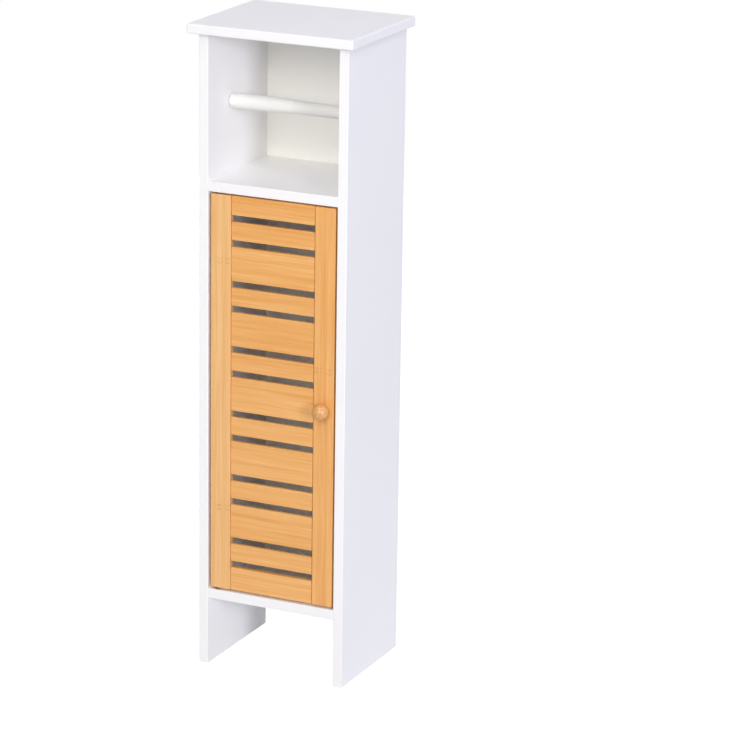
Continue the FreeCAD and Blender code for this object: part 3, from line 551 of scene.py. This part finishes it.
def screw_tree():
    """Cross-head screws whose heads have their tops at the points of the start mesh."""
    tree, inputs = new_tree("Cross-head screws", {
        "Float": ("Shank", "Length", "Head Top", "Head Base", "Head Height", "Recess Span", "Recess Width",
                  "Recess Depth"),
        "Vector": ("Facing",)})
    sunk = add(tree, MATH, {0: inputs["Head Height"], 1: -1.0}, operation="MULTIPLY")
    cone = add(tree, "GeometryNodeMeshCone", {
        "Vertices": HEAD_STEPS, "Radius Top": inputs["Head Top"], "Radius Bottom": inputs["Head Base"],
        "Depth": inputs["Head Height"]})
    head = add(tree, "GeometryNodeTransform", {
        "Geometry": cone, "Translation": add(tree, "ShaderNodeCombineXYZ", {2: sunk})})
    rod = add(tree, "GeometryNodeMeshCylinder", {
        "Vertices": SHANK_STEPS, "Radius": inputs["Shank"], "Depth": inputs["Length"]})
    middle = add(tree, MATH, {0: inputs["Length"], 1: -0.5, 2: -SHANK_SUNK}, operation="MULTIPLY_ADD")
    shank = add(tree, "GeometryNodeTransform", {
        "Geometry": rod, "Translation": add(tree, "ShaderNodeCombineXYZ", {2: middle})})
    blank = add(tree, "GeometryNodeMeshBoolean", {"Mesh 2": head}, operation="UNION")
    tree.links.new(shank.outputs[0], blank.inputs["Mesh 2"])
    depth = add(tree, MATH, {0: inputs["Recess Depth"], 1: 2.0}, operation="MULTIPLY")
    span = inputs["Recess Span"]
    width = inputs["Recess Width"]
    screw = add(tree, "GeometryNodeMeshBoolean", {"Mesh 1": blank}, operation="DIFFERENCE")
    for sides in ((span, width), (width, span)):
        size = add(tree, "ShaderNodeCombineXYZ", {0: sides[0], 1: sides[1], 2: depth})
        recess = add(tree, "GeometryNodeMeshCube", {"Size": size})
        tree.links.new(recess.outputs[0], screw.inputs["Mesh 2"])
    facing = add(tree, "FunctionNodeAlignRotationToVector", {"Vector": inputs["Facing"]}, axis="Z")
    screws = add(tree, "GeometryNodeInstanceOnPoints", {
        "Points": inputs["Geometry"], "Instance": screw, "Rotation": facing})
    end_tree(tree, screws, inputs["Material"])
    return tree


def dowel_tree():
    """Fluted dowels along the edges of the start mesh, as thick at each point as its attribute says."""
    tree, inputs = new_tree("Fluted dowels", {"Int": ("Flutes",), "Float": ("Radius", "Flute Depth")})
    points = add(tree, MATH, {0: inputs["Flutes"], 1: FLUTE_STEPS}, operation="MULTIPLY")
    circle = add(tree, "GeometryNodeCurvePrimitiveCircle", {"Resolution": points, "Radius": inputs["Radius"]})
    around = add(tree, "GeometryNodeSplineParameter").outputs["Factor"]
    full_turn = add(tree, MATH, {0: inputs["Flutes"], 1: 2 * math.pi}, operation="MULTIPLY")
    angle = add(tree, MATH, {0: around, 1: full_turn}, operation="MULTIPLY")
    cosine = add(tree, MATH, {0: angle}, operation="COSINE")
    wave = add(tree, MATH, {0: cosine, 1: 0.5, 2: -0.5}, operation="MULTIPLY_ADD")
    dip = add(tree, MATH, {0: wave, 1: inputs["Flute Depth"]}, operation="MULTIPLY")
    place = add(tree, "GeometryNodeInputPosition")
    outwards = add(tree, "ShaderNodeVectorMath", {0: place}, operation="NORMALIZE")
    offset = add(tree, "ShaderNodeVectorMath", {0: outwards, "Scale": dip}, operation="SCALE")
    section = add(tree, "GeometryNodeSetPosition", {"Geometry": circle, "Offset": offset})
    path = add(tree, "GeometryNodeMeshToCurve", {"Mesh": inputs["Geometry"]})
    swell = add(tree, "GeometryNodeInputNamedAttribute", {"Name": DOWEL_SWELL}, data_type="FLOAT")
    dowels = add(tree, "GeometryNodeCurveToMesh", {
        "Curve": path, "Profile Curve": section, "Scale": swell, "Fill Caps": True})
    end_tree(tree, dowels, inputs["Material"])
    return tree


def spring_tree():
    """A coil along X whose turns close up towards both ends."""
    tree, inputs = new_tree("Coil spring", {
        "Float": ("Turns", "Radius", "Length", "Wire", "Crowding"), "Vector": ("Start",)})
    coil = add(tree, "GeometryNodeCurveSpiral", {
        "Resolution": COIL_STEPS, "Rotations": inputs["Turns"], "Start Radius": inputs["Radius"],
        "End Radius": inputs["Radius"], "Height": inputs["Length"]})
    along = add(tree, "GeometryNodeSplineParameter").outputs["Factor"]
    angle = add(tree, MATH, {0: along, 1: 2 * math.pi}, operation="MULTIPLY")
    wave = add(tree, MATH, {0: angle}, operation="SINE")
    pull = add(tree, MATH, {0: inputs["Length"], 1: inputs["Crowding"]}, operation="MULTIPLY")
    share_of_turn = add(tree, MATH, {0: pull, 1: -2 * math.pi}, operation="DIVIDE")
    lift = add(tree, MATH, {0: wave, 1: share_of_turn}, operation="MULTIPLY")
    crowded = add(tree, "GeometryNodeSetPosition", {
        "Geometry": coil, "Offset": add(tree, "ShaderNodeCombineXYZ", {2: lift})})
    half = add(tree, MATH, {0: inputs["Wire"], 1: 0.5}, operation="MULTIPLY")
    section = add(tree, "GeometryNodeCurvePrimitiveCircle", {"Resolution": WIRE_STEPS, "Radius": half})
    wire = add(tree, "GeometryNodeCurveToMesh",
               {"Curve": crowded, "Profile Curve": section, "Fill Caps": True})
    laid = add(tree, "GeometryNodeTransform", {
        "Geometry": wire, "Translation": inputs["Start"], "Rotation": (0.0, math.pi / 2, 0.0)})
    end_tree(tree, laid, inputs["Material"])
    return tree


class ROLLHOLDER_OT_boards(bpy.types.Operator):
    """Make the white boards and the thin back of the carcass"""
    bl_idname = "roll_holder.boards"
    bl_label = "White boards"

    def execute(self, context):
        look = context.scene.roll_holder_boards
        lacquer = painted_board(
            "White satin lacquer", look.lacquer, look.lacquer_shade, look.ripple, look.ripple_height,
            look.roughness)
        boards = {"top_panel": "top_plate", "left_side_panel": "left_side", "right_side_panel": "right_side",
                  "niche_shelf": "niche_board", "bottom_shelf": "bottom_board"}
        for node, name in boards.items():
            hand_over(eased_copy(node, name, lacquer, look.ease), "cabinet", "white_board", node)
        paint = painted_board(
            "White painted hardboard", look.back, look.back_shade, ripple=1.2 * MM, ripple_height=0.02 * MM,
            roughness=0.5)
        back = eased_copy("back_panel", "back_board", paint, look.ease)
        hand_over(back, "cabinet", "white_back", "back_panel")
        return {"FINISHED"}


class ROLLHOLDER_OT_door_frame(bpy.types.Operator):
    """Make the two stiles of the door"""
    bl_idname = "roll_holder.door_frame"
    bl_label = "Door stiles"

    def execute(self, context):
        look = context.scene.roll_holder_bamboo
        hinge = bamboo(
            "Lacquered bamboo, hinge stile", look.hinge_pale, look.hinge_dark, upright=True, marking=0.8)
        knob = bamboo("Lacquered bamboo, knob stile", look.pale, look.dark, upright=True, marking=0.8)
        for node, name, wood in (("hinge_stile", "left_stile", hinge), ("knob_stile", "right_stile", knob)):
            hand_over(eased_copy(node, name, wood, look.stile_ease), "door", "bamboo", node)
        return {"FINISHED"}


class ROLLHOLDER_OT_slats(bpy.types.Operator):
    """Make the rails and the slats between the stiles"""
    bl_idname = "roll_holder.slats"
    bl_label = "Rails and slats"

    def execute(self, context):
        look = context.scene.roll_holder_bamboo
        level = bamboo("Lacquered bamboo, level", look.pale, look.dark, upright=False, marking=0.2)
        tree = slat_tree()
        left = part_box("hinge_stile")[1].x
        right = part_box("knob_stile")[0].x
        slat_low, slat_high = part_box("narrow_slat_1")
        tenon_middle = (slat_low.y + slat_high.y) / 2
        tenon_thickness = 3 * MM
        tenon_shoulder = 3 * MM
        groups = {
            "bottom_rail": ["door_bottom_rail"],
            "top_rail": ["door_top_rail"],
            "narrow_slats": [f"narrow_slat_{i}" for i in range(1, 7)],
            "wide_slats": [f"wide_slat_{i}" for i in range(1, 6)],
        }
        for seed, (name, nodes) in enumerate(groups.items()):
            low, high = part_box(nodes[0])
            middle = (low + high) / 2
            pitch = (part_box(nodes[-1])[0].z - low.z) / max(1, len(nodes) - 1)
            piece = grown(name, tree, {
                "Count": len(nodes),
                "Length": right - left - 2 * look.joint_gap,
                "Thickness": high.y - low.y,
                "Height": high.z - low.z,
                "Rounding": look.slat_round,
                "Tenon": (high.x - low.x, tenon_thickness, high.z - low.z - 2 * tenon_shoulder),
                "Tenon Setback": tenon_middle - middle.y,
                "First": middle,
                "Pitch": (0.0, 0.0, pitch),
                "Seed": seed,
                "Material": level,
            })
            hand_over(piece, "door", "bamboo", *nodes)
        return {"FINISHED"}


class ROLLHOLDER_OT_knob(bpy.types.Operator):
    """Turn the knob of the door"""
    bl_idname = "roll_holder.knob"
    bl_label = "Knob"

    def execute(self, context):
        look = context.scene.roll_holder_bamboo
        wood = plain_wood(
            "Turned and lacquered wood", "Y", look.knob_pale, look.knob_dark, run=22 * MM, width=2.2 * MM,
            roughness=0.4, coat=0.3)
        low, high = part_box("door_knob")
        screw_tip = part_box("knob_screw")[0].y
        middle = (low + high) / 2
        reach = high.y - low.y
        ball = (high.z - low.z) / 2
        foot = 6 * MM
        foot_bevel = 0.2 * MM
        hole = 2.05 * MM
        hole_spare = 0.5 * MM
        hole_depth = high.y - screw_tip + hole_spare
        waist = math.degrees(math.acos(foot / ball))
        outline = [(0.0, hole_depth), (hole, hole_depth), (hole, 0.0), (foot - foot_bevel, 0.0)]
        outline += [(foot, foot_bevel)]
        outline += arc((0.0, reach - ball), ball, start=-waist, end=88, steps=40) + [(0.0, reach)]
        knob = turned("turned_knob", outline, Vector((middle.x, high.y, middle.z)), (0, -1, 0), wood)
        hand_over(knob, "door", "knob_wood", "door_knob")
        return {"FINISHED"}


class ROLLHOLDER_OT_rod(bpy.types.Operator):
    """Make the two tubes of the roll rod and the spring inside"""
    bl_idname = "roll_holder.rod"
    bl_label = "Roll rod"

    def execute(self, context):
        look = context.scene.roll_holder_rod
        plastic = moulded_plastic(
            "White moulded rod plastic", look.plastic, roughness=0.36, texture=0.6 * MM, height=0.006 * MM)
        self.tube(
            "outer_tube", "rod_outer_tube", "rod_outer", plastic, direction=1, bore=7.9 * MM, lip=0.4 * MM)
        self.tube(
            "inner_tube", "rod_inner_tube", "rod_inner", plastic, direction=-1, bore=6.4 * MM, lip=1.42 * MM)
        self.spring()
        return {"FINISHED"}

    def tube(self, name, node, body, plastic, direction, bore, lip):
        """A tube from its pin's tip: pin, rounded nose, wall that tapers to a lip, bore and core."""
        look = bpy.context.scene.roll_holder_rod
        low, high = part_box(node)
        middle = (low + high) / 2
        tip = low.x if direction > 0 else high.x
        pin = 4 * MM
        face = 6 * MM
        core = 4.5 * MM
        floor = face + 3 * MM
        shoulder = face + 18 * MM
        wall = (high.z - low.z) / 2
        nose = wall - 0.6 * MM
        nose_round = 2.5 * MM
        end = high.x - low.x
        taper = 28 * MM
        edge = bore + lip
        bevel = look.pin_bevel
        rim = look.rim
        slope = math.atan2(wall - nose, shoulder - face)
        inset = nose_round * (1 - math.sin(slope)) / math.cos(slope)
        outline = [(0.0, 0.0), (pin - bevel, 0.0), (pin, bevel), (pin, face)]
        outline += arc(
            (nose - inset, face + nose_round), nose_round, start=-90, end=-math.degrees(slope), steps=8)
        outline += [(wall, shoulder), (wall, end - taper)]
        outline += arc((edge - rim, end - rim), rim, start=0, end=90, steps=4)
        outline += arc((bore + rim, end - rim), rim, start=90, end=180, steps=4)
        outline += [(bore, shoulder), (core, shoulder), (core, floor), (0.0, floor)]
        piece = turned(name, outline, Vector((tip, middle.y, middle.z)), (direction, 0, 0), plastic)
        hand_over(piece, body, "rod_plastic", node)

    def spring(self):
        """The coil spring inside the tubes, made at its length at rest; the real spring shortens as the tubes
        slide together.
        """
        look = bpy.context.scene.roll_holder_rod
        fittings = bpy.context.scene.roll_holder_fittings
        steel = plated_metal("Drawn spring wire", fittings.steel, roughness=0.3, crystal=0.5 * MM)
        low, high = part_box("rod_spring")
        middle = (low + high) / 2
        piece = grown("coil_spring", spring_tree(), {
            "Turns": look.turns,
            "Radius": (high.z - low.z - look.wire) / 2,
            "Length": high.x - low.x - look.wire,
            "Wire": look.wire,
            "Crowding": look.crowding,
            "Start": (low.x + look.wire / 2, middle.y, middle.z),
            "Material": steel,
        })
        hand_over(piece, "rod_outer", "spring_steel", "rod_spring")
        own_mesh(piece)


class ROLLHOLDER_OT_dowels(bpy.types.Operator):
    """Make the fluted dowels of the top plate and the shelves"""
    bl_idname = "roll_holder.dowels"
    bl_label = "Dowels"

    def execute(self, context):
        look = context.scene.roll_holder_fittings
        tree = dowel_tree()
        radius = 3 * MM
        shelf_dowel = 25 * MM
        bare = {"run": 9 * MM, "width": 0.8 * MM, "roughness": 0.6, "coat": 0.0}
        low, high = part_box("top_dowels")
        beech = plain_wood("Beech dowel, upright", "Z", look.beech, look.beech_fleck, **bare)
        axes = []
        for x in (low.x + radius, high.x - radius):
            for y in (low.y + radius, (low.y + high.y) / 2, high.y - radius):
                axes.append((Vector((x, y, low.z)), Vector((x, y, high.z))))
        self.fluted("upright_dowels", "top_dowels", tree, axes, radius, beech)
        low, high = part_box("shelf_dowels")
        beech = plain_wood("Beech dowel, level", "X", look.beech, look.beech_fleck, **bare)
        axes = []
        for start, end in ((low.x, low.x + shelf_dowel), (high.x - shelf_dowel, high.x)):
            for y in (low.y + radius, high.y - radius):
                for z in (low.z + radius, high.z - radius):
                    axes.append((Vector((start, y, z)), Vector((end, y, z))))
        self.fluted("level_dowels", "shelf_dowels", tree, axes, radius, beech)
        return {"FINISHED"}

    def fluted(self, name, node, tree, axes, radius, beech):
        """Dowels along axes, with bevelled ends."""
        look = bpy.context.scene.roll_holder_fittings
        bevel = 0.8 * MM
        spots = []
        swells = []
        edges = []
        for start, end in axes:
            step = (end - start).normalized() * bevel
            first = len(spots)
            spots += [start, start + step, end - step, end]
            swells += [1 - bevel / radius, 1.0, 1.0, 1 - bevel / radius]
            edges += [(first, first + 1), (first + 1, first + 2), (first + 2, first + 3)]
        mesh = bpy.data.meshes.new(name + "_axes")
        mesh.from_pydata(spots, edges, [])
        mesh.attributes.new(DOWEL_SWELL, "FLOAT", "POINT").data.foreach_set("value", swells)
        sizes = {"Radius": radius, "Flutes": look.flutes, "Flute Depth": look.flute_depth}
        piece = grown(name, tree, {"Material": beech, **sizes}, mesh)
        hand_over(piece, "cabinet", "beech", node)


class ROLLHOLDER_OT_screws(bpy.types.Operator):
    """Make the cross-head screws of the catch, the strike plate and the knob"""
    bl_idname = "roll_holder.screws"
    bl_label = "Screws"

    def execute(self, context):
        look = context.scene.roll_holder_fittings
        steel = plated_metal("Zinc plated screw steel", look.steel, roughness=0.32, crystal=0.8 * MM)
        tree = screw_tree()
        low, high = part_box("magnet_catch_screws")
        side = (high.y - low.y) / 2
        middle = (low.y + high.y) / 2
        heads = [Vector((x, middle, low.z)) for x in (low.x + side, high.x - side)]
        self.screws("catch_screws", "magnet_catch_screws", "cabinet", steel, tree, heads, (0, 0, -1),
                    shank=1.5 * MM, reach=high.z - low.z, base=side, top=PAN_TOP * side, height=1.8 * MM)
        # Each screw's name, node, shank radius and head height, and whether it has a pan head
        door_screws = (
            ("knob_fixing_screw", "knob_screw", 2.0 * MM, 2.5 * MM, True),
            ("strike_fixing_screw", "strike_plate_screw", 1.4 * MM, 1.0 * MM, False),
        )
        for name, node, shank, height, pan in door_screws:
            low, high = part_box(node)
            middle = (low + high) / 2
            head = Vector((middle.x, high.y, middle.z))
            radius = (high.z - low.z) / 2
            base = radius if pan else shank
            top = PAN_TOP * radius if pan else radius
            self.screws(name, node, "door", steel, tree, [head], (0, 1, 0), shank, high.y - low.y, base, top,
                        height)
        return {"FINISHED"}

    def screws(self, name, node, body, steel, tree, heads, facing, shank, reach, base, top, height):
        """Like screws with their heads' tops at points."""
        look = bpy.context.scene.roll_holder_fittings
        mesh = bpy.data.meshes.new(name + "_heads")
        mesh.from_pydata(heads, [], [])
        widest = 2 * max(base, top)
        piece = grown(name, tree, {
            "Shank": shank,
            "Length": reach - SHANK_SUNK,
            "Head Top": top,
            "Head Base": base,
            "Head Height": height,
            "Recess Span": look.recess_span * widest,
            "Recess Width": look.recess_width * widest,
            "Recess Depth": RECESS_DEPTH * height,
            "Facing": facing,
            "Material": steel,
        }, mesh)
        hand_over(piece, body, "steel", node)


class ROLLHOLDER_OT_fittings(bpy.types.Operator):
    """Make the catch and the strike plate, and dress the magnet, the cam fittings and the pivots"""
    bl_idname = "roll_holder.fittings"
    bl_label = "Fittings"

    def execute(self, context):
        look = context.scene.roll_holder_fittings
        plastic = moulded_plastic(
            "White moulded fitting plastic", look.plastic, roughness=0.5, texture=0.5 * MM, height=0.01 * MM)
        nylon = moulded_plastic(
            "Brown moulded nylon", look.nylon, roughness=0.48, texture=0.4 * MM, height=0.01 * MM)
        steel = plated_metal("Zinc plated steel", look.steel, roughness=0.36, crystal=1.5 * MM)
        zinc = plated_metal("Zinc die casting", look.zinc, roughness=0.46, crystal=0.9 * MM)
        ferrite = moulded_plastic(
            "Sintered ferrite", look.ferrite, roughness=0.62, texture=0.7 * MM, height=0.02 * MM)
        catch = eased_copy("magnet_catch_housing", "catch_case", plastic, ease=0.5 * MM)
        hand_over(catch, "cabinet", "white_fitting", "magnet_catch_housing")
        plate = eased_copy("strike_plate", "strike_tin", steel, ease=0.25 * MM)
        hand_over(plate, "door", "steel", "strike_plate")
        kept = {
            "catch_magnet": ferrite, "magnet_pole_plates": steel, "cam_bolts": steel, "cam_discs": zinc,
            "upper_pivot_pin": steel, "lower_pivot_pin": steel, "upper_pivot_bush": nylon,
            "lower_pivot_bush": nylon}
        for node, material in kept.items():
            dress(node, material)
        return {"FINISHED"}


# Where the camera stands and how it is turned, in metres and degrees
CAMERA_PLACE = (1.7239, -3.5094, 1.5256)
CAMERA_YAW = 24.95
CAMERA_PITCH = 16.54
CAMERA_ROLL = 0.83
FLOOR_RADIUS = 2.5
FLOOR_DROP = 0.3 * MM
FLOOR_GLOW = 0.80


class ROLLHOLDER_OT_stage(bpy.types.Operator):
    """Set up the floor, the light and the camera"""
    bl_idname = "roll_holder.stage"
    bl_label = "Studio"

    def execute(self, context):
        scene = context.scene
        scene.view_settings.view_transform = "Standard"
        self.floor()
        self.world()
        look = scene.roll_holder_studio
        # Each lamp's power, tint, azimuth from the front to the right, elevation, distance and size
        lamps = {
            "Key": (look.key_power, look.key_tint, 56, 10.4, 6.3, 1.2),
            "Front fill": (look.front_power, look.front_tint, 12, 27, 4.0, 2.0),
            "Side fill": (look.side_power, look.side_tint, 100, 45, 2.5, 1.2),
            "High fill": (look.high_power, look.key_tint, 5, 60, 3.0, 1.6),
            "Back fill": (look.back_power, look.key_tint, 235, 14, 4.0, 2.0),
        }
        for name, values in lamps.items():
            self.lamp(name, *values)
        self.camera()
        return {"FINISHED"}

    def seen(self, tree):
        """One where the eye sees a surface straight, mirrored or through glass, else zero."""
        path = add(tree, "ShaderNodeLightPath").outputs
        straight = add(tree, MATH, {0: path["Is Camera Ray"], 1: path["Is Glossy Ray"]}, operation="MAXIMUM")
        return add(tree, MATH, {0: straight, 1: path["Is Transmission Ray"]}, operation="MAXIMUM")

    def floor(self):
        """A pale floor that looks white to the eye and keeps the object's shadow."""
        look = bpy.context.scene.roll_holder_studio
        material = bpy.data.materials.new("Pale studio floor")
        material.use_nodes = True
        tree = material.node_tree
        tree.nodes.clear()
        plain = add(tree, "ShaderNodeBsdfDiffuse", {"Color": look.floor})
        glow = add(tree, "ShaderNodeEmission", {"Strength": FLOOR_GLOW})
        lit = add(tree, "ShaderNodeAddShader", {0: plain, 1: glow})
        mixed = add(tree, "ShaderNodeMixShader", {0: self.seen(tree), 1: plain, 2: lit})
        add(tree, "ShaderNodeOutputMaterial", {"Surface": mixed})
        shape = bmesh.new()
        bmesh.ops.create_circle(shape, cap_ends=True, segments=FLOOR_STEPS, radius=FLOOR_RADIUS)
        bmesh.ops.translate(shape, verts=shape.verts, vec=(0.0, 0.0, -FLOOR_DROP))
        made("studio_floor", shape, material)

    def world(self):
        """Even light from all round, with a white background for the eye."""
        look = bpy.context.scene.roll_holder_studio
        world = bpy.data.worlds.new("Studio")
        world.use_nodes = True
        bpy.context.scene.world = world
        tree = world.node_tree
        tree.nodes.clear()
        light = add(tree, "ShaderNodeBackground", {"Color": look.ambient, "Strength": look.ambient_strength})
        white = add(tree, "ShaderNodeBackground", {"Color": (1.0, 1.0, 1.0, 1.0), "Strength": 1.0})
        mixed = add(tree, "ShaderNodeMixShader", {0: self.seen(tree), 1: light, 2: white})
        add(tree, "ShaderNodeOutputWorld", {"Surface": mixed})

    def lamp(self, name, watts, tint, azimuth, elevation, distance, size):
        """A square soft lamp that points at the middle of the object."""
        data = bpy.data.lights.new(name, "AREA")
        data.size = size
        data.energy = watts
        data.color = tint[:3]
        lamp = new_object(name, data)
        tilt = Matrix.Rotation(math.radians(90 - elevation), 3, "X")
        turn = Matrix.Rotation(math.radians(azimuth), 3, "Z") @ tilt
        middle = (CAD_BOX[0] + CAD_BOX[1]) / 2
        lamp.location = middle + turn @ Vector((0.0, 0.0, distance))
        lamp.rotation_euler = turn.to_euler()
        lamp.visible_camera = False

    def camera(self):
        """A camera at the photograph's viewing angle."""
        data = bpy.data.cameras.new("Camera")
        data.lens = bpy.context.scene.roll_holder_studio.lens
        camera = new_object("Camera", data)
        camera.location = CAMERA_PLACE
        yaw = Matrix.Rotation(math.radians(CAMERA_YAW), 3, "Z")
        pitch = Matrix.Rotation(math.radians(90 - CAMERA_PITCH), 3, "X")
        roll = Matrix.Rotation(math.radians(CAMERA_ROLL), 3, "Z")
        camera.rotation_euler = (yaw @ pitch @ roll).to_euler()
        bpy.context.scene.camera = camera


LOOKS = {
    "roll_holder_boards": BoardLook,
    "roll_holder_bamboo": BambooLook,
    "roll_holder_fittings": FittingLook,
    "roll_holder_rod": RodLook,
    "roll_holder_studio": StudioLook,
}
STEPS = (
    ROLLHOLDER_OT_boards,
    ROLLHOLDER_OT_door_frame,
    ROLLHOLDER_OT_slats,
    ROLLHOLDER_OT_knob,
    ROLLHOLDER_OT_rod,
    ROLLHOLDER_OT_dowels,
    ROLLHOLDER_OT_screws,
    ROLLHOLDER_OT_fittings,
    ROLLHOLDER_OT_stage,
)


class ROLLHOLDER_PT_panel(bpy.types.Panel):
    """Sizes, colours and steps of the roll holder"""
    bl_idname = "ROLLHOLDER_PT_panel"
    bl_label = "Roll holder"
    bl_space_type = "VIEW_3D"
    bl_region_type = "UI"
    bl_category = "Roll holder"

    def draw(self, context):
        for pointer, group in LOOKS.items():
            box = self.layout.box()
            box.label(text=group.__doc__)
            for name in group.__annotations__:
                box.prop(getattr(context.scene, pointer), name)
        for step in STEPS:
            self.layout.operator(step.bl_idname)


def register():
    """Makes the looks, the steps and the panel known."""
    for pointer, group in LOOKS.items():
        bpy.utils.register_class(group)
        setattr(bpy.types.Scene, pointer, bpy.props.PointerProperty(type=group))
    for item in (*STEPS, ROLLHOLDER_PT_panel):
        bpy.utils.register_class(item)


def unregister():
    """Takes the looks, the steps and the panel away again."""
    for item in (ROLLHOLDER_PT_panel, *reversed(STEPS)):
        bpy.utils.unregister_class(item)
    for pointer, group in LOOKS.items():
        delattr(bpy.types.Scene, pointer)
        bpy.utils.unregister_class(group)


def main():
    """Runs every step."""
    register()
    bpy.ops.roll_holder.boards()
    bpy.ops.roll_holder.door_frame()
    bpy.ops.roll_holder.slats()
    bpy.ops.roll_holder.knob()
    bpy.ops.roll_holder.rod()
    bpy.ops.roll_holder.dowels()
    bpy.ops.roll_holder.screws()
    bpy.ops.roll_holder.fittings()
    bpy.ops.roll_holder.stage()


if __name__ == "__main__":
    main()
